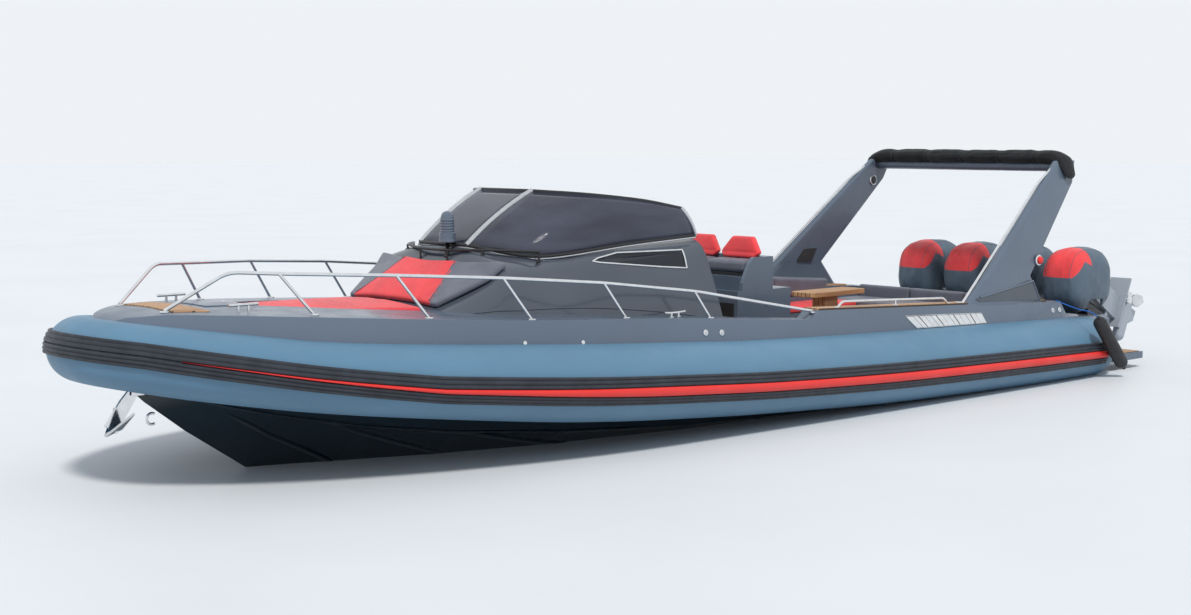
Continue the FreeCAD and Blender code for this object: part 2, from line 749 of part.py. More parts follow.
def make_coaming_cap(arch):
    """Board along the top of the port coaming, cut round the arch's foot."""
    size = COAMING_CAP
    inner = COCKPIT["upper_half"] + size["inset"]
    outer = between(DECK_STATIONS, size["fore"], 4) - size["inset"]
    places = [size["aft"]] + [row[0] for row in DECK_STATIONS if size["aft"] < row[0] < size["fore"]]
    places.append(size["fore"])
    sections = []
    for x in places:
        low = coaming_height(x)
        high = low + size["thickness"]
        sections.append([(x, inner, low), (x, outer, low), (x, outer, high), (x, inner, high)])
    return main_piece(loft(sections).cut(arch))


# Grab rail on the coaming, forward end to aft end. columns: x, height over the coaming
COAMING_RAIL = [(-1270, 0), (-1350, 75), (-3020, 75), (-3100, 0)]
COAMING_RAIL_POST = -2200
COAMING_RAIL_Y = 1500
COAMING_RAIL_RADIUS = 13


def make_coaming_rail(cap):
    line = [(x, COAMING_RAIL_Y, coaming_height(x) + up) for x, up in COAMING_RAIL]
    x = COAMING_RAIL_POST
    height = coaming_height(x)
    post = rail([(x, COAMING_RAIL_Y, height), (x, COAMING_RAIL_Y, height + 75)], COAMING_RAIL_RADIUS - 2)
    return main_piece(rail(line, COAMING_RAIL_RADIUS).fuse(post).cut(cap))


def arch_leg():
    """Blade that leans aft and inward. columns: height, front x, aft x, outer y, inner y"""
    rows = [
        (860, -3290, -4860, 1545, 1440),
        (1190, -3660, -4580, 1560, 1460),
        (2210, -4860, -5600, 1415, 1320),
        (2460, -5180, -5700, 1370, 1280),
    ]
    sections = []
    for z, front, aft, outer, inner in rows:
        sections.append([(front, outer, z), (aft, outer, z), (aft, inner, z), (front, inner, z)])
    return loft(sections)


def make_arch(deck):
    legs = both_sides(arch_leg())
    bar = box(-5690, -5380, -1330, 1330, 2330, 2440)
    return fused(legs + [bar]).cut(deck)


def make_bimini_roll(arch):
    # columns: y, height of the roll's centre, half height
    rows = [(-1450, 2290, 50), (-1370, 2440, 80), (-1180, 2495, 85),
            (1180, 2495, 85), (1370, 2440, 80), (1450, 2290, 50)]
    sections = []
    for y, z, half in rows:
        ring = []
        for k in range(10):
            angle = 2 * math.pi * k / 10
            ring.append((-5470 + 1.9 * half * math.cos(angle), y, z + half * math.sin(angle)))
        sections.append(ring)
    return loft(sections).cut(arch)


# Pole along the arch's leading edge, foot to head. columns: x, y, z
ARCH_POLE = [(-3290, 1495, 900), (-3600, 1505, 1190), (-4800, 1367, 2210), (-5225, 1325, 2440)]
ARCH_POLE_RADIUS = 14


def make_arch_pole(arch, cap, deck):
    return main_piece(rail(ARCH_POLE, ARCH_POLE_RADIUS).cut(arch).cut(cap).cut(deck))


PLATFORM = dict(aft=-6650, fore=-5990, inner=1400, outer=1745, low=110, top=190)
PLATFORM_BRACKET_REACH = 200


def make_platform(hull):
    """Boarding step beside the engines, on a bracket that meets the hull's side."""
    size = PLATFORM
    slab = box(size["aft"], size["fore"], size["inner"], size["outer"], size["low"], size["top"])
    bracket = box(TRANSOM_X + 10, size["fore"], size["inner"] - PLATFORM_BRACKET_REACH, size["inner"] + 1,
                  size["low"], size["top"])
    return main_piece(slab.fuse(bracket).cut(hull))


FENDER_RADIUS = 75
FENDER = dict(top_x=-5190, top_z=655, low_x=-5650, low_z=180, touch_x=-5560)


def make_fender():
    """Round-ended fender that rests on the red stripe."""
    reach = between(TUBE_STATIONS, FENDER["touch_x"], 2) + STRIPE_THICKNESS
    widest = reach * math.cos(math.radians(STRIPE_TOP - STRAKE_BEVEL))
    y = TUBE_HALF_BEAM + widest + SEAT_GAP + FENDER_RADIUS
    start = V(FENDER["top_x"], y, FENDER["top_z"])
    end = V(FENDER["low_x"], y, FENDER["low_z"])
    run = end - start
    body = Part.makeCylinder(FENDER_RADIUS, run.Length, start, run)
    return fused([body, Part.makeSphere(FENDER_RADIUS, start), Part.makeSphere(FENDER_RADIUS, end)])


# Plough anchor hung at the stem. columns: x, z of the shank's middle line from its head down
ANCHOR_SHANK = [(5440, 790), (5560, 640), (5690, 450)]
ANCHOR_SHANK_HALF_WIDTHS = [38, 52, 60]
ANCHOR_SHANK_THICKNESS = 26
ANCHOR_CROWN = (5730, 395)
ANCHOR_WING = dict(back_x=5560, back_z=560, spread=165, thickness=14)


def make_anchor():
    half = 0.5 * ANCHOR_SHANK_THICKNESS
    run = V(ANCHOR_SHANK[-1][0] - ANCHOR_SHANK[0][0], 0, ANCHOR_SHANK[-1][1] - ANCHOR_SHANK[0][1])
    run.normalize()
    sections = []
    for (x, z), width in zip(ANCHOR_SHANK, ANCHOR_SHANK_HALF_WIDTHS):
        dx = -run.z * width
        dz = run.x * width
        sections.append([(x - dx, -half, z - dz), (x - dx, half, z - dz),
                         (x + dx, half, z + dz), (x + dx, -half, z + dz)])
    anchor = loft(sections)
    crown_x, crown_z = ANCHOR_CROWN
    wing = ANCHOR_WING
    for side in (-1, 1):
        tip = (wing["back_x"], side * wing["spread"], wing["back_z"] + 20)
        keel = (wing["back_x"] + 30, 0, wing["back_z"] - 120)
        crown = (crown_x, 0, crown_z)
        lip = wing["thickness"]
        outline = [V(*crown), V(*keel), V(*tip)]
        face = Part.Face(Part.makePolygon(outline + [outline[0]]))
        anchor = anchor.fuse(face.extrude(V(lip, 0, lip)))
    return anchor


# Outboard, drawn upright about the tilt pivot: x aft is negative, z up.
SWIVEL_X = -140
YOKE_GAP = 0.4
PROP_X = -600
PROP_Z = -1000


def engine_cover():
    outline = [(190, 300), (120, 480), (-150, 560), (-520, 560), (-680, 420), (-700, 60),
               (-560, -230), (-300, -220), (-290, 105), (110, 125)]
    sections = []
    for y, shrink in ((-290, 0.80), (-235, 0.96), (0, 1.0), (235, 0.96), (290, 0.80)):
        sections.append([(-270 + (x + 270) * shrink, y, 170 + (z - 170) * shrink) for x, z in outline])
    return loft(sections)


def engine_leg(cover):
    upper = loft([
        [(-250, -110, 98), (-250, 110, 98), (-520, 110, 98), (-520, -110, 98)],
        [(-190, -70, -730), (-190, 70, -730), (-480, 60, -730), (-480, -60, -730)],
    ])
    plate = box(-730, -90, -140, 140, -750, -730)
    strut = loft([
        [(-180, -40, -750), (-180, 40, -750), (-480, 30, -750), (-480, -30, -750)],
        [(-120, -40, PROP_Z), (-120, 40, PROP_Z), (-480, 30, PROP_Z), (-480, -30, PROP_Z)],
    ])
    torpedo = Part.makeCylinder(75, 410, V(-70, 0, PROP_Z), V(-1, 0, 0))
    nose = Part.makeSphere(75, V(-70, 0, PROP_Z))
    skeg = loft([
        [(-180, -10, PROP_Z), (-180, 10, PROP_Z), (-480, 10, PROP_Z), (-480, -10, PROP_Z)],
        [(-350, -6, -1240), (-350, 6, -1240), (-480, 6, -1240), (-480, -6, -1240)],
    ])
    yoke_top = box(-260, SWIVEL_X + 40, -60, 60, 30 + YOKE_GAP, 90)
    yoke_low = box(-260, SWIVEL_X + 40, -60, 60, -560, -500 - YOKE_GAP)
    leg = fused([upper, plate, strut, torpedo, nose, skeg, yoke_top, yoke_low])
    return leg.cut(cover)


def engine_swivel():
    column = Part.makeCylinder(60, 530, V(SWIVEL_X, 0, -500), V(0, 0, 1))
    arm = box(SWIVEL_X, 0, -70, 70, -320, 30)
    tube = Part.makeCylinder(34, 339, V(0, -169.5, 0), V(0, 1, 0))
    return fused([column, arm, tube])


def engine_propeller():
    hub = Part.makeCylinder(62, 150, V(PROP_X + 119.5, 0, PROP_Z), V(-1, 0, 0))
    blades = []
    for k in range(3):
        blade = box(-55, 55, -6, 6, 40, 200)
        blade.rotate(V(0, 0, 0), V(0, 0, 1), 35)
        blade.rotate(V(0, 0, 0), V(1, 0, 0), 120 * k)
        blade.translate(V(PROP_X + 45, 0, PROP_Z))
        blades.append(blade)
    return fused([hub] + blades)


def clamp_bracket():
    """Pair of plates on the transom that carry the tilt tube, drawn about the pivot."""
    plates = []
    for side in (-1, 1):
        plate = box(-40, TRANSOM_X - PIVOT_X, -14, 14, -420, 50)
        plate.translate(V(0, side * 184, 0))
        plates.append(plate)
    web = box(40, TRANSOM_X - PIVOT_X, -198, 198, -420, -180)
    return fused(plates + [web])


def place_engine(shape, y):
    placed = shape.copy()
    placed.rotate(V(0, 0, 0), V(0, 1, 0), ENGINE_TILT)
    placed.translate(V(PIVOT_X, y, PIVOT_Z))
    return placed


def engine_offsets():
    middle = 0.5 * (ENGINE_COUNT - 1)
    return [(k - middle) * ENGINE_SPACING for k in range(ENGINE_COUNT)]


def main():
    tube = make_tube()
    cockpit, engine_well, cabin_space = wells()
    deck = make_deck(tube)
    hull = make_hull(tube).cut(deck).cut(cockpit).cut(cabin_space)
    deck = deck.cut(cockpit).cut(engine_well)
    stripe = make_strake(STRIPE_TOP, STRIPE_BOTTOM, STRIPE_THICKNESS).cut(tube)
    strake = make_strake(STRAKE_TOP, STRAKE_BOTTOM, STRAKE_THICKNESS).cut(tube).cut(stripe)
    transom = box(TRANSOM_X, TRANSOM_X + TRANSOM_THICKNESS, -TRANSOM_HALF, TRANSOM_HALF,
                  ENGINE_WELL["floor"], TRANSOM_TOP)
    bow_pad = make_bow_pad()
    deck = deck.cut(bow_pad)
    cabin = make_cabin(deck)
    opening = door_opening()
    cabin = cabin.cut(opening)
    deck = deck.cut(cabin_space).cut(opening)
    hull = hull.cut(opening)
    cabin, side_glass = cabin_with_windows(cabin)
    low_block, high_block = hinge_blocks()
    deck = deck.fuse(low_block)
    cabin = cabin.fuse(high_block)
    panes, frame = make_windshield()
    hull = hull.fuse(transom)
    export("hull", hull)
    export("tube", tube)
    export("rub_strake", strake)
    export("strake_stripe", stripe)
    export("deck", deck)
    export("cabin", cabin)
    export("side_windows", both_sides(side_glass))
    export("windshield", [main_piece(sheet.cut(cabin)) for sheet in panes])
    export("windshield_frame", main_piece(frame.cut(cabin)))
    export("bow_pad", bow_pad)
    handrail = main_piece(make_handrail().cut(cabin))
    searchlight = main_piece(make_searchlight().cut(cabin))
    export("trunk_pad", make_trunk_pad(cabin_block()))
    export("bow_rail", both_sides(main_piece(make_rails().cut(deck))))
    export("handrail", handrail)
    export("searchlight", searchlight)
    export("cleats", both_sides(make_cleat(4830, 580, 1362).cut(deck)))
    export("helm_console", make_helm(cabin))
    export("steering_wheel", make_wheel())
    export("cabin_door", make_door())
    export("seat_module", make_seat_module())
    export("helm_cushions", make_helm_cushions())
    export("sofa_base", make_sofa())
    seats, backs = make_sofa_cushions()
    export("sofa_cushions", seats + backs)
    top, leg = make_table()
    export("table_top", top)
    export("table_leg", leg)
    arch = make_arch(deck)
    export("arch", arch)
    export("bimini_roll", make_bimini_roll(arch))
    cap = make_coaming_cap(arch)
    export("coaming_caps", both_sides(cap))
    export("coaming_rails", both_sides(make_coaming_rail(cap)))
    export("arch_poles", both_sides(make_arch_pole(arch, cap, deck)))
    export("swim_platforms", both_sides(make_platform(hull)))
    export("fender", make_fender())
    export("anchor", make_anchor().cut(tube).cut(hull))
    cover = engine_cover()
    leg = engine_leg(cover)
    for number, y in enumerate(engine_offsets(), 1):
        export("engine_cover_%d" % number, place_engine(cover, y))
        export("engine_leg_%d" % number, place_engine(leg, y))
        export("swivel_bracket_%d" % number, place_engine(engine_swivel(), y))
        export("propeller_%d" % number, place_engine(engine_propeller(), y))
    brackets = []
    for y in engine_offsets():
        bracket = clamp_bracket()
        bracket.translate(V(PIVOT_X, y, PIVOT_Z))
        brackets.append(bracket)
    export("clamp_brackets", brackets)


main()
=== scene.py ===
import json
import math

import bpy
import bmesh
from mathutils import Matrix, Vector
from mathutils import noise as field

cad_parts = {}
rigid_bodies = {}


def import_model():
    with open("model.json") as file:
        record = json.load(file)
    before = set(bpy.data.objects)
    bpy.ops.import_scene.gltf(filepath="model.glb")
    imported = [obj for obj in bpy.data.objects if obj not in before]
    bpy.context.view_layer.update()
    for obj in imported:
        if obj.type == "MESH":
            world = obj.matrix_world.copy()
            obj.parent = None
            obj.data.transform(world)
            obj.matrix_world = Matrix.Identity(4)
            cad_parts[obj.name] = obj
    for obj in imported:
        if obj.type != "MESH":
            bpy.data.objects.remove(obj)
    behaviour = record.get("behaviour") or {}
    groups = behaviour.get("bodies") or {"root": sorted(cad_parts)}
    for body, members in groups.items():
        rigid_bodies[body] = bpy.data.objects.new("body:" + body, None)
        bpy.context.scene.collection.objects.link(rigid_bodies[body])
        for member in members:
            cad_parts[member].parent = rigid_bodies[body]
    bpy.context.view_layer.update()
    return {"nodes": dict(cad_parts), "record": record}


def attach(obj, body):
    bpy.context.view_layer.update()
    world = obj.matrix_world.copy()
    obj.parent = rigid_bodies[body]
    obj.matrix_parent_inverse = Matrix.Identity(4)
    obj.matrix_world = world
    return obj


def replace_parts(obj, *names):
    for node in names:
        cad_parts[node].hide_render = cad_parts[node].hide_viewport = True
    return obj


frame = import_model()
V = Vector

# Camera: fitted to the photo, in the boat's own frame, in metres.
CAMERA_PLACE = (11.70, 12.24, 2.716)
CAMERA_YAW = math.radians(42.263)
CAMERA_PITCH = math.radians(5.693)
FOCAL_PIXELS = 1700
PHOTO_WIDTH = 1191
SENSOR_WIDTH = 36

# Inflatable tube, as in the CAD source. columns: x, centre height, radius
TUBE_STATIONS = [
    (-5.950, 0.305, 0.150),
    (-5.850, 0.308, 0.250),
    (-5.650, 0.315, 0.336),
    (-4.000, 0.355, 0.360),
    (-2.000, 0.408, 0.362),
    (0.000, 0.493, 0.348),
    (1.200, 0.572, 0.343),
    (2.200, 0.645, 0.333),
    (3.200, 0.733, 0.310),
    (4.000, 0.809, 0.290),
    (4.500, 0.866, 0.280),
    (5.000, 0.942, 0.276),
    (5.350, 0.998, 0.271),
]
TUBE_HALF_BEAM = 1.600
TUBE_STRAIGHT_END = 1.200
SHOULDER_X = 4.450
SHOULDER_TURN = math.radians(17)
NOSE_X = 5.600
NOSE_TURN = math.radians(38)
NOSE_TIP_HEIGHT = 1.085
NOSE_TIP_RADIUS = 0.255
STRAKE_CLIMB = 20
STRAKE_CLIMB_START = 3.600

SHOULDER_RADIUS = (SHOULDER_X - TUBE_STRAIGHT_END) / math.sin(SHOULDER_TURN)
SHOULDER_Y = TUBE_HALF_BEAM - SHOULDER_RADIUS * (1 - math.cos(SHOULDER_TURN))
BOW_RADIUS = (NOSE_X - SHOULDER_X) / (math.sin(NOSE_TURN) - math.sin(SHOULDER_TURN))
NOSE_Y = SHOULDER_Y - BOW_RADIUS * (math.cos(SHOULDER_TURN) - math.cos(NOSE_TURN))
NOSE_RADIUS = NOSE_Y / math.cos(NOSE_TURN)
NOSE_TIP_X = NOSE_X + NOSE_RADIUS * (1 - math.sin(NOSE_TURN))


# Nodes for materials
class Nodes:
    """A material's node tree, with short calls to add and join nodes."""

    def __init__(self, name):
        self.material = bpy.data.materials.new(name)
        self.material.use_nodes = True
        self.tree = self.material.node_tree
        self.shader = self.tree.nodes["Principled BSDF"]
        self.place = self.add("ShaderNodeTexCoord").outputs["Object"]

    def add(self, kind, **values):
        node = self.tree.nodes.new(kind)
        for key, value in values.items():
            setattr(node, key, value)
        return node

    def join(self, source, target):
        self.tree.links.new(source, target)

    def noise(self, scale, detail=4.0, rough=0.55, stretch=(1, 1, 1)):
        mapping = self.add("ShaderNodeMapping")
        mapping.inputs["Scale"].default_value = stretch
        self.join(self.place, mapping.inputs["Vector"])
        node = self.add("ShaderNodeTexNoise")
        node.inputs["Scale"].default_value = scale
        node.inputs["Detail"].default_value = detail
        node.inputs["Roughness"].default_value = rough
        self.join(mapping.outputs["Vector"], node.inputs["Vector"])
        return node.outputs["Fac"]

    def ramp(self, value, low, high, start=0.3, end=0.7):
        node = self.add("ShaderNodeValToRGB")
        node.color_ramp.elements[0].position = start
        node.color_ramp.elements[0].color = (*low, 1)
        node.color_ramp.elements[1].position = end
        node.color_ramp.elements[1].color = (*high, 1)
        self.join(value, node.inputs["Fac"])
        return node.outputs["Color"]

    def span(self, value, low, high):
        node = self.add("ShaderNodeMapRange")
        node.inputs["From Min"].default_value = 0.3
        node.inputs["From Max"].default_value = 0.7
        node.inputs["To Min"].default_value = low
        node.inputs["To Max"].default_value = high
        self.join(value, node.inputs["Value"])
        return node.outputs["Result"]

    def bump(self, height, strength, distance, before=None):
        node = self.add("ShaderNodeBump")
        node.inputs["Strength"].default_value = strength
        node.inputs["Distance"].default_value = distance
        self.join(height, node.inputs["Height"])
        if before is not None:
            self.join(before, node.inputs["Normal"])
        self.join(node.outputs["Normal"], self.shader.inputs["Normal"])
        return node.outputs["Normal"]

    def set(self, **values):
        for key, value in values.items():
            self.shader.inputs[key.replace("_", " ")].default_value = value

    def tones(self, value, colour, dark, light):
        """Base colour that wanders between two shades of a colour."""
        shades = self.ramp(value, shade(colour, dark), shade(colour, light))
        self.join(shades, self.shader.inputs["Base Color"])

    def gloss(self, value, low, high):
        """Roughness that wanders between two values."""
        self.join(self.span(value, low, high), self.shader.inputs["Roughness"])

    def cells(self, scale, distance="EUCLIDEAN"):
        """Height of small cells, for a weave or a grain."""
        node = self.add("ShaderNodeTexVoronoi", distance=distance)
        node.inputs["Scale"].default_value = scale
        self.join(self.place, node.inputs["Vector"])
        return node.outputs["Distance"]


def shade(colour, factor):
    return tuple(min(1.0, c * factor) for c in colour)


def painted(name, colour, rough, spread, grain, coat=0.0):
    """Paint, gelcoat or coated metal: slow tone changes, fine orange peel and patchy gloss."""
    n = Nodes(name)
    n.tones(n.noise(0.9, 3.0), colour, 1 - spread, 1 + spread)
    n.gloss(n.noise(4.0, 1.0, 0.5), rough * 0.8, rough * 1.3)
    n.bump(n.noise(70.0, 1.0), 0.06, grain)
    n.set(Coat_Weight=coat, Coat_Roughness=0.08)
    return n.material


def fabric_skin(name, colour):
    """Coated tube fabric: fine weave under a satin coat, with faint stains."""
    n = Nodes(name)
    n.tones(n.noise(1.3, 5.0, 0.6, (0.4, 1, 1.6)), colour, 0.90, 1.08)
    n.gloss(n.noise(5.0, 4.0), 0.42, 0.56)
    weave = n.bump(n.cells(700), 0.10, 0.0006)
    n.bump(n.noise(3.2, 3.0), 0.18, 0.01, weave)
    return n.material


def rubber(name, colour, rough):
    """Moulded rubber: mottled tone and a fine matt grain."""
    n = Nodes(name)
    n.tones(n.noise(6.0, 5.0), colour, 0.75, 1.35)
    n.gloss(n.noise(22.0, 4.0), rough * 0.85, rough * 1.2)
    n.bump(n.noise(420.0, 3.0), 0.35, 0.0008)
    return n.material


def vinyl(name, colour):
    """Upholstery vinyl: pebbled grain, soft sheen and uneven tone."""
    n = Nodes(name)
    n.tones(n.noise(4.0, 4.0), colour, 0.85, 1.15)
    n.gloss(n.noise(30.0, 3.0), 0.38, 0.55)
    pebble = n.bump(n.cells(420), 0.28, 0.0008)
    n.bump(n.noise(9.0, 3.0), 0.25, 0.006, pebble)
    n.set(Sheen_Weight=0.15)
    return n.material


def canvas(name, colour):
    """Matt woven cloth."""
    n = Nodes(name)
    n.tones(n.noise(5.0, 5.0), colour, 0.7, 1.6)
    n.set(Roughness=0.85, Sheen_Weight=0.08)
    weave = n.bump(n.cells(900, "CHEBYCHEV"), 0.4, 0.0008)
    n.bump(n.noise(14.0, 4.0), 0.45, 0.008, weave)
    return n.material


def canvas_cover(name, colour):
    """Coated cover cloth: fine weave, satin, with stretched puckers."""
    n = Nodes(name)
    n.tones(n.noise(4.0, 5.0), colour, 0.86, 1.16)
    n.gloss(n.noise(9.0, 4.0), 0.40, 0.58)
    weave = n.bump(n.cells(800, "CHEBYCHEV"), 0.2, 0.0006)
    n.bump(n.noise(11.0, 4.0, 0.6, (1, 1, 0.45)), 0.5, 0.012, weave)
    return n.material


def steel(name, colour=(0.78, 0.79, 0.80), rough=0.12):
    """Polished or brushed metal with faint smears."""
    n = Nodes(name)
    n.tones(n.noise(12.0, 4.0), colour, 0.92, 1.06)
    n.gloss(n.noise(38.0, 4.0), rough * 0.7, rough * 1.6)
    n.bump(n.noise(260.0, 2.0, 0.5, (1, 1, 8)), 0.06, 0.0004)
    n.set(Metallic=1.0)
    return n.material


def teak(name):
    """Oiled teak: long grain with darker veins and black caulk lines across Y."""
    n = Nodes(name)
    grain = n.noise(26.0, 6.0, 0.6, (0.06, 1, 1))
    wood = n.ramp(grain, (0.33, 0.175, 0.085), (0.60, 0.37, 0.20), 0.35, 0.68)
    stripes = n.add("ShaderNodeTexWave", wave_type="BANDS", bands_direction="Y", wave_profile="SIN")
    stripes.inputs["Scale"].default_value = 5.5
    stripes.inputs["Distortion"].default_value = 0
    n.join(n.place, stripes.inputs["Vector"])
    mask = n.ramp(stripes.outputs["Fac"], (0, 0, 0), (1, 1, 1), 0.02, 0.05)
    mix = n.add("ShaderNodeMix", data_type="RGBA", blend_type="MULTIPLY")
    mix.inputs["Factor"].default_value = 0.92
    n.join(wood, mix.inputs["A"])
    n.join(mask, mix.inputs["B"])
    n.join(mix.outputs["Result"], n.shader.inputs["Base Color"])
    n.gloss(grain, 0.42, 0.62)
    n.bump(grain, 0.3, 0.001)
    return n.material


def tinted_glass(name, colour, weight):
    """Tinted glazing: partly clear, with a smooth reflecting face."""
    n = Nodes(name)
    n.tones(n.noise(1.1, 4.0, 0.55, (0.5, 1, 2.4)), colour, 0.55, 1.7)
    n.gloss(n.noise(14.0, 3.0), 0.02, 0.06)
    n.set(Transmission_Weight=weight, IOR=1.45)
    return n.material


MAT = {
    "hull_paint": painted("hull_paint", (0.004, 0.013, 0.022), 0.16, 0.10, 0.0002, 0.3),
    "deck_paint": painted("deck_paint", (0.098, 0.130, 0.178), 0.30, 0.05, 0.0002, 0.15),
    "tube_fabric": fabric_skin("tube_fabric", (0.098, 0.205, 0.310)),
    "strake_rubber": rubber("strake_rubber", (0.021, 0.025, 0.034), 0.50),
    "stripe_red": painted("stripe_red", (0.74, 0.032, 0.026), 0.40, 0.07, 0.0004),
    "cabin_paint": painted("cabin_paint", (0.060, 0.073, 0.096), 0.18, 0.08, 0.0002, 0.3),
    "cushion_red": vinyl("cushion_red", (0.72, 0.042, 0.050)),
    "cushion_grey": vinyl("cushion_grey", (0.115, 0.125, 0.160)),
    "canvas_black": canvas("canvas_black", (0.006, 0.0065, 0.008)),
    "steel": steel("steel"),
    "rail_black": painted("rail_black", (0.018, 0.018, 0.020), 0.35, 0.15, 0.0003),
    "aluminium_trim": steel("aluminium_trim", (0.62, 0.63, 0.65), 0.30),
    "tinted_glass": tinted_glass("tinted_glass", (0.050, 0.054, 0.080), 0.30),
    "side_glass": tinted_glass("side_glass", (0.008, 0.010, 0.015), 0.0),
    "teak": teak("teak"),
    "engine_paint": canvas_cover("engine_paint", (0.080, 0.115, 0.155)),
    "cover_red": canvas_cover("cover_red", (0.76, 0.055, 0.060)),
    "engine_metal": painted("engine_metal", (0.31, 0.35, 0.40), 0.30, 0.05, 0.0004, 0.2),
    "bracket_black": painted("bracket_black", (0.03, 0.033, 0.04), 0.4, 0.15, 0.0006),
    "rubber_black": rubber("rubber_black", (0.018, 0.018, 0.020), 0.55),
    "panel_dark": painted("panel_dark", (0.055, 0.066, 0.085), 0.30, 0.08, 0.0005, 0.3),
    "lens_green": painted("lens_green", (0.02, 0.30, 0.10), 0.12, 0.05, 0.0002, 0.5),
    "rope_blue": rubber("rope_blue", (0.02, 0.11, 0.42), 0.7),
}
SLOT_OF = {entry["node"]: entry["material_slot"] for entry in frame["record"]["subparts"]}


# Camera, light and floor
def place_camera():
    data = bpy.data.cameras.new("camera")
    camera = bpy.data.objects.new("camera", data)
    bpy.context.scene.collection.objects.link(camera)
    flat = math.cos(CAMERA_PITCH)
    look = V((-math.sin(CAMERA_YAW) * flat, -math.cos(CAMERA_YAW) * flat, -math.sin(CAMERA_PITCH)))
    camera.location = CAMERA_PLACE
    camera.rotation_euler = look.to_track_quat("-Z", "Y").to_euler()
    data.sensor_fit = "HORIZONTAL"
    data.sensor_width = SENSOR_WIDTH
    data.lens = SENSOR_WIDTH * FOCAL_PIXELS / PHOTO_WIDTH
    data.clip_end = 500
    bpy.context.scene.camera = camera


def background_mix(tree, lit, seen_colour):
    """Show a plain pale colour to the camera and in reflections, and light with another shader."""
    paths = tree.nodes.new("ShaderNodeLightPath")
    seen_by = paths.outputs["Is Camera Ray"]
    for ray in ("Is Glossy Ray", "Is Transmission Ray"):
        either = tree.nodes.new("ShaderNodeMath")
        either.operation = "MAXIMUM"
        tree.links.new(seen_by, either.inputs[0])
        tree.links.new(paths.outputs[ray], either.inputs[1])
        seen_by = either.outputs[0]
    seen = tree.nodes.new("ShaderNodeBackground")
    seen.inputs["Color"].default_value = (*seen_colour, 1)
    seen.inputs["Strength"].default_value = 1.0
    mix = tree.nodes.new("ShaderNodeMixShader")
    tree.links.new(seen_by, mix.inputs["Fac"])
    tree.links.new(lit, mix.inputs[1])
    tree.links.new(seen.outputs[0], mix.inputs[2])
    return mix.outputs[0]


def light_scene():
    scene = bpy.context.scene
    scene.view_settings.view_transform = "Standard"
    world = bpy.data.worlds.new("world")
    world.use_nodes = True
    scene.world = world
    tree = world.node_tree
    ambient = tree.nodes["Background"]
    ambient.inputs["Color"].default_value = (0.86, 0.92, 1.0, 1)
    ambient.inputs["Strength"].default_value = 0.62
    shown = background_mix(tree, ambient.outputs[0], (0.86, 0.89, 0.92))
    tree.links.new(shown, tree.nodes["World Output"].inputs["Surface"])
    sun = bpy.data.lights.new("sun", "SUN")
    sun.energy = 2.6
    sun.angle = math.radians(9)
    sun.color = (1.0, 0.97, 0.92)
    lamp = bpy.data.objects.new("sun", sun)
    lamp.rotation_euler = V((-0.42, -0.55, -1.0)).to_track_quat("-Z", "Y").to_euler()
    lamp.visible_glossy = False
    scene.collection.objects.link(lamp)
    floor_size = 160
    bm = bmesh.new()
    bmesh.ops.create_grid(bm, x_segments=2, y_segments=2, size=floor_size)
    mesh = bpy.data.meshes.new("floor")
    bm.to_mesh(mesh)
    bm.free()
    floor = bpy.data.objects.new("floor", mesh)
    scene.collection.objects.link(floor)
    n = Nodes("floor")
    n.join(n.ramp(n.noise(0.4, 3.0), (0.66, 0.69, 0.72), (0.69, 0.72, 0.75)), n.shader.inputs["Base Color"])
    n.set(Roughness=0.55)
    mesh.materials.append(n.material)


# Meshes
def placed(name, mesh, material, body, smooth=True):
    """Object of a mesh, with its material, on the body that it rides."""
    mesh.materials.clear()
    mesh.materials.append(MAT[material])
    if smooth:
        for polygon in mesh.polygons:
            polygon.use_smooth = True
    obj = bpy.data.objects.new(name, mesh)
    bpy.context.scene.collection.objects.link(obj)
    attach(obj, body)
    return obj


def new_object(name, bm, material, body="boat", smooth=True):
    mesh = bpy.data.meshes.new(name)
    bmesh.ops.recalc_face_normals(bm, faces=bm.faces)
    bm.to_mesh(mesh)
    bm.free()
    return placed(name, mesh, material, body, smooth)


def loft_mesh(bm, sections, cap=True, close=True):
    """Skin rings of equal length; the ends are closed where asked."""
    rings = [[bm.verts.new(p) for p in section] for section in sections]
    count = len(rings[0])
    last = count if close else count - 1
    for near, far in zip(rings, rings[1:]):
        for k in range(last):
            j = (k + 1) % count
            bm.faces.new((near[k], near[j], far[j], far[k]))
    if cap:
        bm.faces.new(rings[0])
        bm.faces.new(list(reversed(rings[-1])))
    return rings


def loft_object(name, sections, material, body="boat", cap=True, close=True, smooth=True):
    bm = bmesh.new()
    loft_mesh(bm, sections, cap, close)
    return new_object(name, bm, material, body, smooth)


def sheet(name, rows, material, thickness, body="boat"):
    """Sheet of even thickness over a grid of points."""
    obj = loft_object(name, rows, material, body, cap=False, close=False)
    thick = obj.modifiers.new("thick", "SOLIDIFY")
    thick.thickness = thickness
    thick.offset = 0
    return obj


def bevelled(obj, width, segments=3, angle=35):
    """Rounded edges and smooth shading between them."""
    bevel = obj.modifiers.new("bevel", "BEVEL")
    bevel.width = width
    bevel.segments = segments
    bevel.limit_method = "ANGLE"
    bevel.angle_limit = math.radians(angle)
    bevel.harden_normals = False
    for polygon in obj.data.polygons:
        polygon.use_smooth = True
    weighted = obj.modifiers.new("normals", "WEIGHTED_NORMAL")
    weighted.keep_sharp = True
    return obj


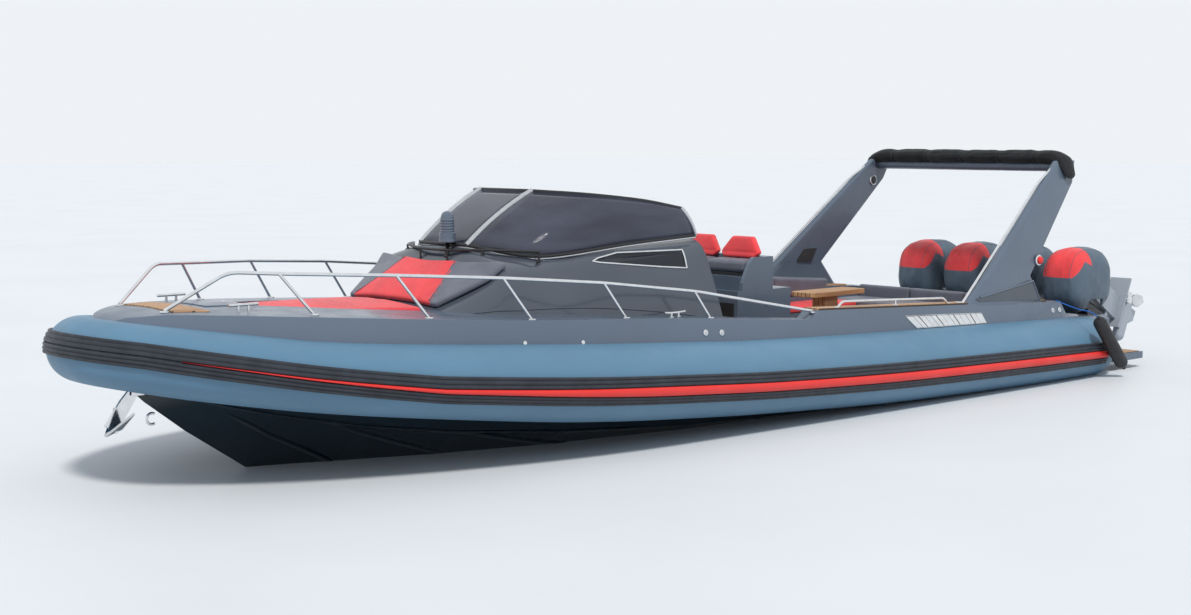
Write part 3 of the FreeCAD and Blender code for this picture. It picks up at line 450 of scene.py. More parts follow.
def pipe(name, points, radius, material, body="boat", smooth=True, cyclic=False):
    """Round bar through points, as a mesh made from a bevelled spline."""
    curve = bpy.data.curves.new(name, "CURVE")
    curve.dimensions = "3D"
    curve.bevel_depth = radius
    curve.bevel_resolution = 3
    curve.use_fill_caps = True
    if smooth:
        spline = curve.splines.new("BEZIER")
        spline.bezier_points.add(len(points) - 1)
        for knot, point in zip(spline.bezier_points, points):
            knot.co = point
            knot.handle_left_type = "AUTO"
            knot.handle_right_type = "AUTO"
    else:
        spline = curve.splines.new("POLY")
        spline.points.add(len(points) - 1)
        for knot, point in zip(spline.points, points):
            knot.co = (*point, 1)
    spline.use_cyclic_u = cyclic
    carrier = bpy.data.objects.new(name + "_line", curve)
    bpy.context.scene.collection.objects.link(carrier)
    bpy.context.view_layer.update()
    mesh = bpy.data.meshes.new_from_object(carrier)
    bpy.data.objects.remove(carrier)
    bpy.data.curves.remove(curve)
    mesh.name = name
    return placed(name, mesh, material, body)


def joined(name, objects):
    """One object from several that share a body."""
    bpy.ops.object.select_all(action="DESELECT")
    for obj in objects:
        obj.select_set(True)
    bpy.context.view_layer.objects.active = objects[0]
    bpy.ops.object.join()
    objects[0].name = name
    return objects[0]


def rounded(points, radius, steps=4):
    """Corner points replaced by short arcs, so that a pipe keeps its straight runs."""
    line = [V(p) for p in points]
    result = [line[0]]
    for before, corner, after in zip(line, line[1:], line[2:]):
        back = before - corner
        ahead = after - corner
        reach = min(radius, 0.45 * back.length, 0.45 * ahead.length)
        start = corner + back.normalized() * reach
        end = corner + ahead.normalized() * reach
        for k in range(steps + 1):
            t = k / steps
            result.append(start.lerp(corner, t).lerp(corner.lerp(end, t), t))
    result.append(line[-1])
    return result


# Smooth values along a table
def eased(table, x, column):
    """Value of a column at x on a smooth curve through the rows."""
    rows = sorted(table)
    if x <= rows[0][0]:
        return rows[0][column]
    if x >= rows[-1][0]:
        return rows[-1][column]
    k = max(i for i in range(len(rows) - 1) if rows[i][0] <= x)
    x0, x1 = rows[k][0], rows[k + 1][0]
    y0, y1 = rows[k][column], rows[k + 1][column]
    width = x1 - x0

    def slope(i):
        if i == 0:
            return (rows[1][column] - rows[0][column]) / (rows[1][0] - rows[0][0])
        if i == len(rows) - 1:
            return (rows[i][column] - rows[i - 1][column]) / (rows[i][0] - rows[i - 1][0])
        left = (rows[i][column] - rows[i - 1][column]) / (rows[i][0] - rows[i - 1][0])
        right = (rows[i + 1][column] - rows[i][column]) / (rows[i + 1][0] - rows[i][0])
        if left * right <= 0:
            return 0.0
        return 2 * left * right / (left + right)

    t = (x - x0) / width
    h00 = 2 * t ** 3 - 3 * t ** 2 + 1
    h10 = t ** 3 - 2 * t ** 2 + t
    h01 = -2 * t ** 3 + 3 * t ** 2
    h11 = t ** 3 - t ** 2
    return h00 * y0 + h10 * width * slope(k) + h01 * y1 + h11 * width * slope(k + 1)


def straight(table, x, column):
    """Value of a column at x, straight between the rows."""
    rows = sorted(table)
    x = min(max(x, rows[0][0]), rows[-1][0])
    for low, high in zip(rows, rows[1:]):
        if x <= high[0]:
            share = (x - low[0]) / (high[0] - low[0])
            return low[column] + share * (high[column] - low[column])
    return rows[-1][column]


def spaced(start, end, count):
    """Evenly spaced values with both ends."""
    return [start + (end - start) * k / count for k in range(count + 1)]


def circle(count):
    """Cosines and sines of evenly spaced angles."""
    angles = [2 * math.pi * k / count for k in range(count)]
    return [(math.cos(a), math.sin(a)) for a in angles]


def on_side(points, side):
    """Port points as they are, or mirrored when side is -1."""
    return [(x, side * y, z) for x, y, z in points]


def from_starboard(port):
    """Port line with its mirror image before it, as one line."""
    return on_side(reversed(port), -1) + port


def side_name(side):
    return "port" if side > 0 else "starboard"


def box_mesh(low, high):
    bm = bmesh.new()
    bmesh.ops.create_cube(bm, size=1.0)
    for vert in bm.verts:
        vert.co = V([a + (0.5 + c) * (b - a) for a, b, c in zip(low, high, vert.co)])
    return bm


def block(name, low, high, material, edge):
    """Box between two corners with soft edges."""
    return bevelled(new_object(name, box_mesh(low, high), material), edge, 2)


def carve(obj, cutter):
    """Cut one mesh out of another and remove the cutter."""
    cut = obj.modifiers.new("cut", "BOOLEAN")
    cut.operation = "DIFFERENCE"
    cut.solver = "EXACT"
    cut.object = cutter
    bpy.context.view_layer.objects.active = obj
    bpy.ops.object.modifier_apply(modifier="cut")
    bpy.data.objects.remove(cutter)


def cutter_box(low, high):
    return cutter_object(box_mesh(low, high))


def cutter_object(bm):
    bmesh.ops.recalc_face_normals(bm, faces=bm.faces)
    mesh = bpy.data.meshes.new("cutter")
    bm.to_mesh(mesh)
    bm.free()
    obj = bpy.data.objects.new("cutter", mesh)
    bpy.context.scene.collection.objects.link(obj)
    return obj


def split_by_planes(obj, planes):
    """Cut the faces of a mesh along planes without taking anything away. planes: point, normal"""
    bm = bmesh.new()
    bm.from_mesh(obj.data)
    for point, normal in planes:
        everything = bm.verts[:] + bm.edges[:] + bm.faces[:]
        bmesh.ops.bisect_plane(bm, geom=everything, dist=0.0005, plane_co=point, plane_no=normal)
    bm.to_mesh(obj.data)
    bm.free()


def paint_faces(obj, material, test):
    """Give a second material to the faces whose middle passes a test."""
    obj.data.materials.append(MAT[material])
    index = len(obj.data.materials) - 1
    for polygon in obj.data.polygons:
        if test(polygon.center):
            polygon.material_index = index


def disc(name, place, normal, radius, thick, material):
    """Round flange with a turned edge."""
    axis = V(normal).normalized()
    across = axis.cross(V((0.3, 0.5, 1)))
    across.normalize()
    other = axis.cross(across)
    sections = []
    for height, share in ((-0.004, 1.0), (thick * 0.5, 1.0), (thick * 0.85, 0.95), (thick, 0.80)):
        middle = V(place) + axis * height
        sections.append([middle + (across * c + other * s) * (radius * share) for c, s in circle(24)])
    return loft_object(name, sections, material)


def turned(name, centre, profile, material):
    """Form turned about the upright. profile: radius and height rows"""
    x, y = centre
    sections = [[(x + radius * c, y + radius * s, z) for c, s in circle(36)] for radius, z in profile]
    return loft_object(name, sections, material)


# Tube
TUBE_CURVE = TUBE_STATIONS + [(NOSE_TIP_X, NOSE_TIP_HEIGHT, NOSE_TIP_RADIUS)]
TUBE_STERN_X = -5.95
CONE_END_X = -5.65
STRAKE_STERN_X = -5.63
STRIPE_MIDDLE = -7.2
STRIPE_HALF = 6.8
STRIPE_POINT_X = 5.45
STRIPE_FULL_X = 1.60
STRAKE_TOP = 15.2
STRAKE_BOTTOM = -27.2
# Grooved bands across their width. columns: share from top to bottom, height over the skin
UPPER_BAND = [(0, -0.004), (0.013, 0.012), (0.066, 0.024), (0.22, 0.026), (0.26, 0.017), (0.32, 0.017),
              (0.36, 0.026), (0.59, 0.026), (0.63, 0.017), (0.68, 0.017), (0.72, 0.026), (0.96, 0.026),
              (0.985, 0.020), (1, -0.004)]
LOWER_BAND = [(0, -0.004), (0.008, 0.020), (0.13, 0.026), (0.28, 0.026), (0.32, 0.017), (0.39, 0.017),
              (0.43, 0.026), (0.61, 0.026), (0.65, 0.017), (0.72, 0.017), (0.76, 0.026), (0.92, 0.024),
              (0.98, 0.012), (1, -0.004)]
RED_BAND = [(0, -0.004), (0.05, 0.026), (0.16, 0.034), (0.5, 0.036), (0.84, 0.034), (0.95, 0.026), (1, -0.004)]


def tube_frame(x):
    """Centre, heading and radius of the port tube at x, up to where the nose arc starts."""
    if x <= TUBE_STRAIGHT_END:
        y, heading = TUBE_HALF_BEAM, 0.0
    elif x <= SHOULDER_X:
        heading = math.asin((x - TUBE_STRAIGHT_END) / SHOULDER_RADIUS)
        y = TUBE_HALF_BEAM - SHOULDER_RADIUS * (1 - math.cos(heading))
    else:
        heading = math.asin((x - SHOULDER_X) / BOW_RADIUS + math.sin(SHOULDER_TURN))
        y = SHOULDER_Y - BOW_RADIUS * (math.cos(SHOULDER_TURN) - math.cos(heading))
    return V((x, y, eased(TUBE_CURVE, x, 1))), heading, eased(TUBE_CURVE, x, 2)


def nose_frame(heading):
    x = NOSE_X + NOSE_RADIUS * (math.sin(heading) - math.sin(NOSE_TURN))
    place = V((x, NOSE_RADIUS * math.cos(heading), eased(TUBE_CURVE, x, 1)))
    return place, heading, eased(TUBE_CURVE, x, 2)


def tube_frames():
    port = []
    x = TUBE_STERN_X
    while x < NOSE_X - 0.01:
        port.append(tube_frame(x))
        x += 0.025 if x < CONE_END_X else 0.12
    steps = 12
    for k in range(steps):
        port.append(nose_frame(NOSE_TURN + (math.pi / 2 - NOSE_TURN) * k / steps))
    tip = nose_frame(math.pi / 2)
    starboard = [(V((c.x, -c.y, c.z)), math.pi - h, r) for c, h, r in reversed(port)]
    return port + [tip] + starboard


def ring_point(place, degrees, extra):
    centre, heading, radius = place
    outward = V((math.sin(heading), math.cos(heading), 0))
    angle = math.radians(degrees)
    reach = radius + extra
    return centre + outward * (reach * math.cos(angle)) + V((0, 0, reach * math.sin(angle)))


def climb_at(x):
    return max(0.0, x - STRAKE_CLIMB_START) / (NOSE_X - STRAKE_CLIMB_START) * STRAKE_CLIMB


def stripe_half(x):
    """Half width of the red stripe in degrees: a point towards the nose, full amidships."""
    share = (STRIPE_POINT_X - x) / (STRIPE_POINT_X - STRIPE_FULL_X)
    return STRIPE_HALF * min(1.0, max(0.0, share))


def band(places, top_at, bottom_at, profile):
    """Sections of a band on the tube between two edges given in degrees at x."""
    sections = []
    for place in places:
        x = place[0].x
        top = top_at(x) + climb_at(x)
        bottom = bottom_at(x) + climb_at(x)
        sections.append([ring_point(place, top + share * (bottom - top), height) for share, height in profile])
    return sections


def make_tube():
    places = tube_frames()
    sides = 64
    sections = [[ring_point(p, 360 * k / sides, 0) for k in range(sides)] for p in places]
    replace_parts(loft_object("tube_skin", sections, "tube_fabric"), "tube")
    bare = [p for p in places if p[0].x > STRAKE_STERN_X]

    def over(x):
        return STRIPE_MIDDLE + stripe_half(x)

    def under(x):
        return STRIPE_MIDDLE - stripe_half(x)
    upper = band(bare, lambda x: STRAKE_TOP, lambda x: over(x) + 0.35, UPPER_BAND)
    lower = band(bare, lambda x: under(x) - 0.35, lambda x: STRAKE_BOTTOM, LOWER_BAND)
    bands = [loft_object("strake_upper", upper, "strake_rubber")]
    bands.append(loft_object("strake_lower", lower, "strake_rubber"))
    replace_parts(joined("strake_bands", bands), "rub_strake")
    stripes = []
    for side in (-1, 1):
        run = [p for p in bare if p[0].y * side > 0 and p[0].x < STRIPE_POINT_X]
        stripes.append(loft_object("strake_red", band(run, over, under, RED_BAND), "stripe_red"))
    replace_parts(joined("strake_red_lines", stripes), "strake_stripe")


# Deck and hull. The coaming ends in a slant ahead of the engines.
# columns: x, split height, foot half width, foot height, edge half width, edge height, crown
DECK_ROWS = [
    (-6.200, 0.470, 1.560, 0.600, 1.500, 0.640, 0.640),
    (-5.340, 0.470, 1.578, 0.615, 1.520, 0.660, 0.660),
    (-5.180, 0.470, 1.582, 0.628, 1.532, 0.868, 0.868),
    (-4.900, 0.470, 1.590, 0.640, 1.540, 0.880, 0.880),
    (-3.200, 0.480, 1.600, 0.690, 1.545, 0.955, 0.955),
    (-0.960, 0.500, 1.600, 0.760, 1.545, 1.050, 1.050),
    (-0.860, 0.500, 1.600, 0.765, 1.545, 0.968, 0.975),
    (-0.060, 0.520, 1.600, 0.795, 1.545, 1.030, 1.040),
    (0.700, 0.550, 1.600, 0.830, 1.545, 1.089, 1.100),
    (1.600, 0.610, 1.595, 0.885, 1.530, 1.150, 1.165),
    (2.550, 0.690, 1.500, 0.940, 1.440, 1.195, 1.230),
    (3.500, 0.780, 1.340, 1.000, 1.270, 1.260, 1.300),
    (4.400, 0.880, 1.130, 1.080, 1.010, 1.320, 1.360),
    (5.000, 0.960, 0.880, 1.140, 0.760, 1.355, 1.385),
    (5.400, 1.020, 0.640, 1.190, 0.500, 1.370, 1.390),
    (5.640, 1.060, 0.440, 1.240, 0.300, 1.350, 1.360),
    (5.720, 1.075, 0.330, 1.235, 0.190, 1.318, 1.322),
    (5.760, 1.080, 0.200, 1.225, 0.080, 1.280, 1.282),
]
SMOOTH_FROM = 0.700


def deck_value(x, column):
    if x < SMOOTH_FROM:
        return straight(DECK_ROWS, x, column)
    return eased(DECK_ROWS, x, column)


def deck_top(x, y):
    """Height of the deck's top face."""
    share = min(1.0, abs(y) / deck_value(x, 4))
    return deck_value(x, 6) + share ** 1.6 * (deck_value(x, 5) - deck_value(x, 6))


def deck_side(x, z):
    """Half width of the deck's side face at a height."""
    share = (z - deck_value(x, 3)) / (deck_value(x, 5) - deck_value(x, 3))
    return deck_value(x, 2) + share * (deck_value(x, 4) - deck_value(x, 2))


def deck_section(x):
    split, foot_y, foot_z, edge_y = (deck_value(x, c) for c in range(1, 5))
    port = [(x, foot_y, split), (x, foot_y, foot_z)]
    across = 7
    for k in range(across):
        y = edge_y * (1 - k / across)
        port.append((x, y, deck_top(x, y)))
    starboard = [(x, -y, z) for _, y, z in reversed(port)]
    return port + [(x, 0, deck_top(x, 0))] + starboard


def make_deck():
    places = [row[0] for row in DECK_ROWS if row[0] <= SMOOTH_FROM]
    x = SMOOTH_FROM + 0.12
    while x < DECK_ROWS[-1][0]:
        places.append(x)
        x += 0.12 if x < 5.2 else 0.04
    places.append(DECK_ROWS[-1][0])
    deck = loft_object("deck_moulding", [deck_section(x) for x in places], "deck_paint")
    cuts = [
        ((-5.000, -1.190, 0.450), (0.100, 1.190, 3.0)),
        ((-5.000, -1.340, 0.820), (0.100, 1.340, 3.0)),
        ((-6.300, -1.445, 0.470), (-5.230, 1.445, 3.0)),
        ((0.190, -0.860, 0.350), (2.850, 0.860, 3.0)),
        ((0.099, 0.114, 0.474), (0.191, 0.606, 3.0)),
    ]
    for low, high in cuts:
        carve(deck, cutter_box(low, high))
    bm = bmesh.new()
    sections = []
    for x, half, _, crown in BOW_PAD:
        half += 0.003
        x += 0.003 if x > 4 else -0.003 if x < 3.5 else 0
        low = crown - 0.077
        sections.append([(x, half, low), (x, half, 1.5), (x, -half, 1.5), (x, -half, low)])
    loft_mesh(bm, sections)
    carve(deck, cutter_object(bm))
    bevelled(deck, 0.016, 3, 40)
    hinge = block("lower_hinge_block", (0.086, 0.597, 0.570), (0.101, 0.640, 0.600), "deck_paint", 0.002)
    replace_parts(deck, "deck")
    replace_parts(hinge, "deck")


# Bottom of the bow. columns: x, keel height, chine half width, chine height
BOTTOM_ROWS = [(0.500, -0.600, 1.250, 0.060), (2.000, -0.530, 1.120, 0.160), (3.000, -0.400, 0.930, 0.250),
               (3.800, -0.210, 0.720, 0.360), (4.500, 0.000, 0.500, 0.500), (5.050, 0.370, 0.260, 0.640),
               (5.400, 0.640, 0.090, 0.760)]
# Spray rails on the bottom, fore end to aft end. columns: x, share of the way from keel to chine
SPRAY_RAILS = [
    [(4.850, 0.83), (4.340, 0.58), (3.700, 0.30)],
    [(4.020, 0.97), (3.470, 0.79), (2.900, 0.64)],
    [(2.950, 0.99), (2.040, 0.82), (1.400, 0.74)],
]
CHINE_RAIL = [(5.250, 0.995), (0.600, 0.995)]
SPRAY_RAIL_SIZE = 0.022


def bottom_point(x, share, side):
    keel, half, height = (straight(BOTTOM_ROWS, x, c) for c in range(1, 4))
    return V((x, side * share * half, keel + share * (height - keel)))


def make_spray_rails():
    """Rails along the bottom, tapered at both ends."""
    steps = 32
    for side in (-1, 1):
        rails = []
        for rows in SPRAY_RAILS + [CHINE_RAIL]:
            sections = []
            for k, x in enumerate(spaced(rows[0][0], rows[-1][0], steps)):
                share = eased(rows, x, 1)
                size = SPRAY_RAIL_SIZE * min(1.0, 0.15 + 5 * k / steps, 0.15 + 5 * (steps - k) / steps)
                inner = bottom_point(x, share - 0.05, side)
                outer = bottom_point(x, share, side)
                out = V((0, side, 0)) * size
                sections.append([inner, outer + V((0, side * 0.2, -1)) * size * 0.6, outer + out,
                                 outer + V((0, 0, size)), outer - out * 0.3 + V((0, 0, size * 0.4))])
            rails.append(loft_object("rail", sections, "hull_paint", smooth=False))
        joined("spray_rails_%s" % side_name(side), rails)


# Places on the coaming's and foredeck's side. columns: x, height
FILLER_CAPS = [(-4.991, 0.775), (-5.133, 0.772), (0.659, 0.958), (0.448, 0.942)]
SIDE_DRAINS_X = (2.70, 2.12)
SIDE_CLEAT = (0.88, 1.40)
LID_HINGE_X = 4.62


def deck_patch(name, stations, steps, lift, material, edge):
    """Low plate that follows the deck. stations: x, first y, last y"""
    sections = []
    for x, first, last in stations:
        row = [(x, y, deck_top(x, y)) for y in spaced(first, last, steps)]
        under = [(x, y, z - 0.002) for x, y, z in row]
        over = [(x, y, z + lift) for x, y, z in reversed(row)]
        sections.append(under + over)
    bevelled(loft_object(name, sections, material, smooth=False), edge, 2)


def make_deck_fittings():
    """Teak step and lid on the foredeck; caps, drains, cleats and louvres along the sides."""
    step = [(x, half, -half) for x, half in zip(spaced(5.08, 5.35, 12), spaced(0.50, 0.40, 12))]
    deck_patch("bow_step", step, 12, 0.010, "teak", 0.003)
    for side in (-1, 1):
        facing = (0, side, 0.2)
        for x, z in FILLER_CAPS:
            y = deck_side(x, z)
            disc("filler_cap", (x, side * y, z), facing, 0.030, 0.010, "steel")
            disc("filler_plug", (x, side * (y + 0.008), z), facing, 0.016, 0.006, "aluminium_trim")
        for x in SIDE_DRAINS_X:
            z = deck_value(x, 3) + 0.07
            disc("side_drain", (x, side * deck_side(x, z), z), facing, 0.020, 0.008, "steel")
        make_small_cleat("side_cleat_%s" % side_name(side), SIDE_CLEAT[0], side * SIDE_CLEAT[1])
        make_louvre_panel(side)
    deck_patch("anchor_lid", [(x, -0.20, 0.20) for x in spaced(4.60, 4.95, 8)], 8, 0.008, "deck_paint", 0.004)
    for y in (-0.09, 0.09):
        place = (LID_HINGE_X, y, deck_top(LID_HINGE_X, y) + 0.008)
        disc("lid_hinge", place, (0, 0, 1), 0.018, 0.008, "steel")


def make_small_cleat(name, x, y):
    z = deck_top(x, y)
    line = [(x + dx, y, z + up) for dx, up in ((-0.13, 0.046), (-0.08, 0.042), (0.08, 0.042), (0.13, 0.046))]
    pieces = [pipe("bar", line, 0.011, "steel")]
    for dx in (-0.045, 0.045):
        leg = [(x + dx, y, z - 0.01), (x + dx, y, z + 0.042)]
        pieces.append(pipe("leg", leg, 0.012, "steel", smooth=False))
    for dx in (-0.045, 0.045):
        pieces.append(disc("foot", (x + dx, y, z + 0.002), (0, 0, 1), 0.024, 0.008, "steel"))
    joined(name, pieces)


# Air intake on the coaming's side, as x and z of its corners
LOUVRE = [(-2.287, 0.904), (-3.595, 0.844), (-3.663, 0.731), (-2.450, 0.768)]
LOUVRE_SLATS = 13


def louvre_point(side, along, up, lift):
    """Point on the panel: along from its fore end, up from its lower edge, lift off the moulding."""
    fore_top, aft_top, aft_low, fore_low = (V((x, 0, z)) for x, z in LOUVRE)
    p = fore_low.lerp(aft_low, along).lerp(fore_top.lerp(aft_top, along), up)
    return V((p.x, side * (deck_side(p.x, p.z) + lift), p.z))


def make_louvre_panel(side):
    name = side_name(side)
    corners = [louvre_point(side, a, u, 0.004) for a, u in ((0, 0), (0, 1), (1, 1), (1, 0))]
    backing = [[louvre_point(side, a, u, h) for u, h in ((0, -0.004), (0, 0.003), (1, 0.003), (1, -0.004))]
               for a in (0, 1)]
    loft_object("louvre_back_%s" % name, backing, "rubber_black", smooth=False)
    bars = [pipe("edge", corners + corners[:1], 0.006, "steel", smooth=False)]
    for k in range(LOUVRE_SLATS):
        a = (k + 0.06) / LOUVRE_SLATS
        b = (k + 0.94) / LOUVRE_SLATS
        fore_lift, aft_lift = ((0.005, 0.020), (0.016, 0.006), (0.009, 0.011))[k % 3]
        slat = [[louvre_point(side, a, u, 0.003), louvre_point(side, a, u, fore_lift),
                 louvre_point(side, b, u, aft_lift), louvre_point(side, b, u, 0.003)]
                for u in (0.05, 0.95)]
        bars.append(loft_object("slat", slat, "steel", smooth=False))
    joined("louvre_bars_%s" % name, bars)


# Rails and frames
BOW_RAIL = [(5.40, 0.37, 1.39), (4.97, 0.59, 1.68), (4.62, 0.77, 1.66), (3.75, 1.12, 1.62), (2.82, 1.33, 1.56),
            (1.80, 1.45, 1.47), (0.68, 1.45, 1.33), (-0.93, 1.48, 1.04)]
# Feet of the stanchions, whose tops are the rail's points from the third on. columns: x, y
STANCHION_FEET = [(4.38, 0.90), (3.49, 1.21), (2.55, 1.38), (1.55, 1.47), (0.50, 1.48)]
HANDRAIL = [(2.538, 0.200, 1.725), (2.420, 0.560, 1.738), (2.080, 0.925, 1.725)]
# Windshield ribs. columns: foot x, y, z, head x, y, z
RIBS = [
    (2.43, 0.34, 1.770, 1.70, 0.37, 2.240),
    (2.01, 0.85, 1.678, 1.45, 0.78, 2.215),
    (1.11, 1.05, 1.765, 0.92, 1.02, 2.150),
    (0.335, 1.12, 1.815, 0.50, 1.10, 2.070),
]
# Grab rail on the coaming. columns: x, height over the coaming's edge
COAMING_RAIL = [(-1.270, 0), (-1.350, 0.075), (-3.020, 0.075), (-3.100, 0)]
COAMING_RAIL_Y = 1.500
COAMING_POST_X = -2.200
CAP_HEIGHT = 0.018
ARCH_POLE = [(-3.290, 1.495, 0.900), (-3.600, 1.505, 1.190), (-4.925, 1.367, 2.210), (-5.360, 1.325, 2.440)]


def make_bow_rail():
    pieces = []
    for k, side in enumerate((1, -1)):
        line = rounded(on_side(BOW_RAIL, side), 0.09, 6)
        pieces.append(pipe("rail_top_%d" % k, line, 0.0155, "steel", smooth=False))
    for top, (x, y) in zip(BOW_RAIL[2:], STANCHION_FEET):
        for side in (1, -1):
            foot = V((x, side * y, deck_top(x, y) - 0.004))
            head = V((top[0], side * top[1], top[2]))
            pieces.append(pipe("stanchion", [foot, head], 0.013, "steel", smooth=False))
            pieces.append(disc("foot", foot + V((0, 0, 0.004)), (0, 0, 1), 0.034, 0.012, "steel"))
    for side in (-1, 1):
        for x, y, _ in (BOW_RAIL[0], BOW_RAIL[-1]):
            pieces.append(disc("foot", (x, side * y, deck_top(x, y)), (0, 0, 1), 0.036, 0.012, "steel"))
    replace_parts(joined("bow_rail_bars", pieces), "bow_rail")


def make_handrail():
    line = from_starboard(HANDRAIL)
    pieces = [pipe("hand", rounded(line, 0.12, 6), 0.013, "rail_black", smooth=False)]
    for x, y, z in line:
        foot = (x, y * 0.99, trunk_top(x, y * 0.99) - 0.006)
        pieces.append(pipe("post", [(x, y, z), foot], 0.009, "rail_black", smooth=False))
        pieces.append(disc("post_foot", foot, (0.5, 0, 0.8), 0.024, 0.012, "rail_black"))
    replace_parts(joined("handrail_bar", pieces), "handrail")


def make_coaming_rails():
    """Low grab rails on the coaming, and the poles before the arch's legs."""
    pieces = []
    for side in (-1, 1):
        y = side * COAMING_RAIL_Y
        line = [(x, y, deck_value(x, 5) + up) for x, up in COAMING_RAIL]
        pieces.append(pipe("grab", rounded(line, 0.05, 5), 0.013, "steel", smooth=False))
        z = deck_value(COAMING_POST_X, 5)
        post = [(COAMING_POST_X, y, z), (COAMING_POST_X, y, z + 0.075)]
        pieces.append(pipe("grab_post", post, 0.011, "steel", smooth=False))
        for x in (COAMING_RAIL[0][0], COAMING_POST_X, COAMING_RAIL[-1][0]):
            foot = (x, y, deck_value(x, 5) + CAP_HEIGHT)
            pieces.append(disc("grab_foot", foot, (0, 0, 1), 0.028, 0.009, "steel"))
    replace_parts(joined("coaming_rail_bars", pieces), "coaming_rails")
    poles = []
    for side in (-1, 1):
        line = on_side(ARCH_POLE, side)
        poles.append(pipe("pole", rounded(line, 0.10, 6), 0.014, "steel", smooth=False))
        x, y, _ = line[0]
        foot = (x, y, deck_value(x, 5) + CAP_HEIGHT)
        poles.append(disc("pole_foot", foot, (0, 0, 1), 0.036, 0.014, "steel"))
    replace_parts(joined("arch_pole_bars", poles), "arch_poles")


RIB_STEPS = 8
PANE_THICKNESS = 0.010
PANE_BOW = 0.055


def rib_at(place):
    """Rib between two rows of RIBS, on a smooth curve through all of them."""
    return [eased([(k, row[column]) for k, row in enumerate(RIBS)], place, 1) for column in range(6)]


def rib_point(row, t):
    """Point on a rib, from foot to head, bowed outward a little."""
    foot = V(row[:3])
    head = V(row[3:])
    outward = V((0.5, 0.85 if row[1] > 0.4 else 0.0, 0.35))
    return foot.lerp(head, t) + outward * (PANE_BOW * 4 * t * (1 - t))


def rib_line(row, side):
    """Points up a rib. side is 1 to port and -1 to starboard, or a share between them."""
    points = [rib_point(row, t) for t in spaced(0, 1, RIB_STEPS)]
    return on_side(points, side)


def make_windshield():
    """Side panes curved round the corner and a bowed centre pane, in a slim frame."""
    ribs = [rib_at(place) for place in spaced(0, len(RIBS) - 1, RIB_STEPS * (len(RIBS) - 1))]
    panes = []
    for side in (-1, 1):
        rows = [rib_line(rib, side) for rib in ribs]
        panes.append(sheet("side_pane_%d" % side, rows, "tinted_glass", PANE_THICKNESS))
    rows = [rib_line(RIBS[0], share) for share in spaced(1, -1, RIB_STEPS)]
    panes.append(sheet("centre_pane", rows, "tinted_glass", PANE_THICKNESS))
    for pane in panes:
        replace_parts(pane, "windshield")
    bars = []
    edges = ((0.0, 0, 0.017, "rail_black"), (1.0, 0, 0.014, "rail_black"),
             (0.0, -0.020, 0.010, "aluminium_trim"))
    for t, lift, radius, material in edges:
        points = [rib_point(rib, t) for rib in ribs]
        line = from_starboard([(p.x, p.y, p.z + lift) for p in points])
        bars.append(pipe("edge", line, radius, material, smooth=False))
    for side in (-1, 1):
        for rib, radius in ((ribs[0], 0.024), (ribs[-1], 0.018)):
            bars.append(pipe("mullion", rib_line(rib, side), radius, "aluminium_trim", smooth=False))
    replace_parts(joined("windshield_bars", bars[:2]), "windshield_frame")
    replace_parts(joined("windshield_mullions", bars[2:]), "windshield_frame")


# Cabin trunk, as in the CAD source
# columns: x, foot half width, foot height, shoulder half width and height, knee half width and height, crown
TRUNK_ROWS = [
    (0.100, 1.270, 0.980, 1.160, 1.775, 0.700, 1.790, 1.790),
    (1.200, 1.255, 1.050, 1.110, 1.725, 0.600, 1.760, 1.765),
    (2.000, 1.160, 1.120, 0.920, 1.655, 0.420, 1.745, 1.755),
    (2.430, 1.060, 1.160, 0.940, 1.600, 0.340, 1.750, 1.760),
    (2.570, 1.020, 1.180, 0.890, 1.475, 0.340, 1.590, 1.600),
    (3.060, 0.830, 1.200, 0.690, 1.228, 0.300, 1.238, 1.240),
]
SIDE_WINDOW = [(1.560, 1.624), (1.500, 1.650), (1.290, 1.690), (0.535, 1.688), (0.522, 1.520), (0.840, 1.546),
               (1.500, 1.612)]


def trunk_top(x, y):
    """Height of the trunk's top over a place."""
    shoulder_y, shoulder_z, knee_y, knee_z, crown = (straight(TRUNK_ROWS, x, c) for c in range(3, 8))
    across = abs(y)
    if across <= knee_y:
        return crown + across / knee_y * (knee_z - crown)
    return knee_z + (across - knee_y) / (shoulder_y - knee_y) * (shoulder_z - knee_z)


CABIN_WALL = 0.045
TRUNK_BULGE = 0.014


def trunk_section(x, inset, lower):
    """Section with a swollen side and a rounded shoulder."""
    row = [eased(TRUNK_ROWS, x, column) for column in range(1, 8)]
    foot_y, foot_z, shoulder_y, shoulder_z, knee_y, knee_z, crown = row
    foot = V((x, foot_y - inset, foot_z - lower))
    shoulder = V((x, shoulder_y - inset, shoulder_z - inset))
    knee = V((x, knee_y, knee_z - inset))
    port = []
    for k in range(7):
        t = 0.80 * k / 6
        point = foot.lerp(shoulder, t)
        point.y += TRUNK_BULGE * math.sin(math.pi * t)
        port.append(point)
    start = port[-1]
    end = shoulder.lerp(knee, 0.35)
    for k in range(1, 7):
        t = k / 6
        port.append(start.lerp(shoulder, t).lerp(shoulder.lerp(end, t), t))
    port += [end.lerp(knee, 0.5), knee, V((x, 0.5 * knee.y, 0.5 * (knee.z + crown - inset) + 0.003))]
    starboard = [V((p.x, -p.y, p.z)) for p in reversed(port)]
    return port + [V((x, 0, crown - inset))] + starboard


def trunk_side(x, z):
    """Half width of the trunk's outside at a height."""
    port = [p for p in trunk_section(x, 0, 0.02) if p.y > 0]
    for low, high in zip(port, port[1:]):
        if low.z <= z <= high.z:
            return low.y + (z - low.z) / (high.z - low.z) * (high.y - low.y)
    return port[0].y


# Lean of the cabin's aft corners: slope, height it starts at, and where it starts and is full across
AFT_SWEEP = 0.26
AFT_SWEEP_FROM = 1.02
AFT_SWEEP_INNER = 0.66
AFT_SWEEP_WIDTH = 0.34


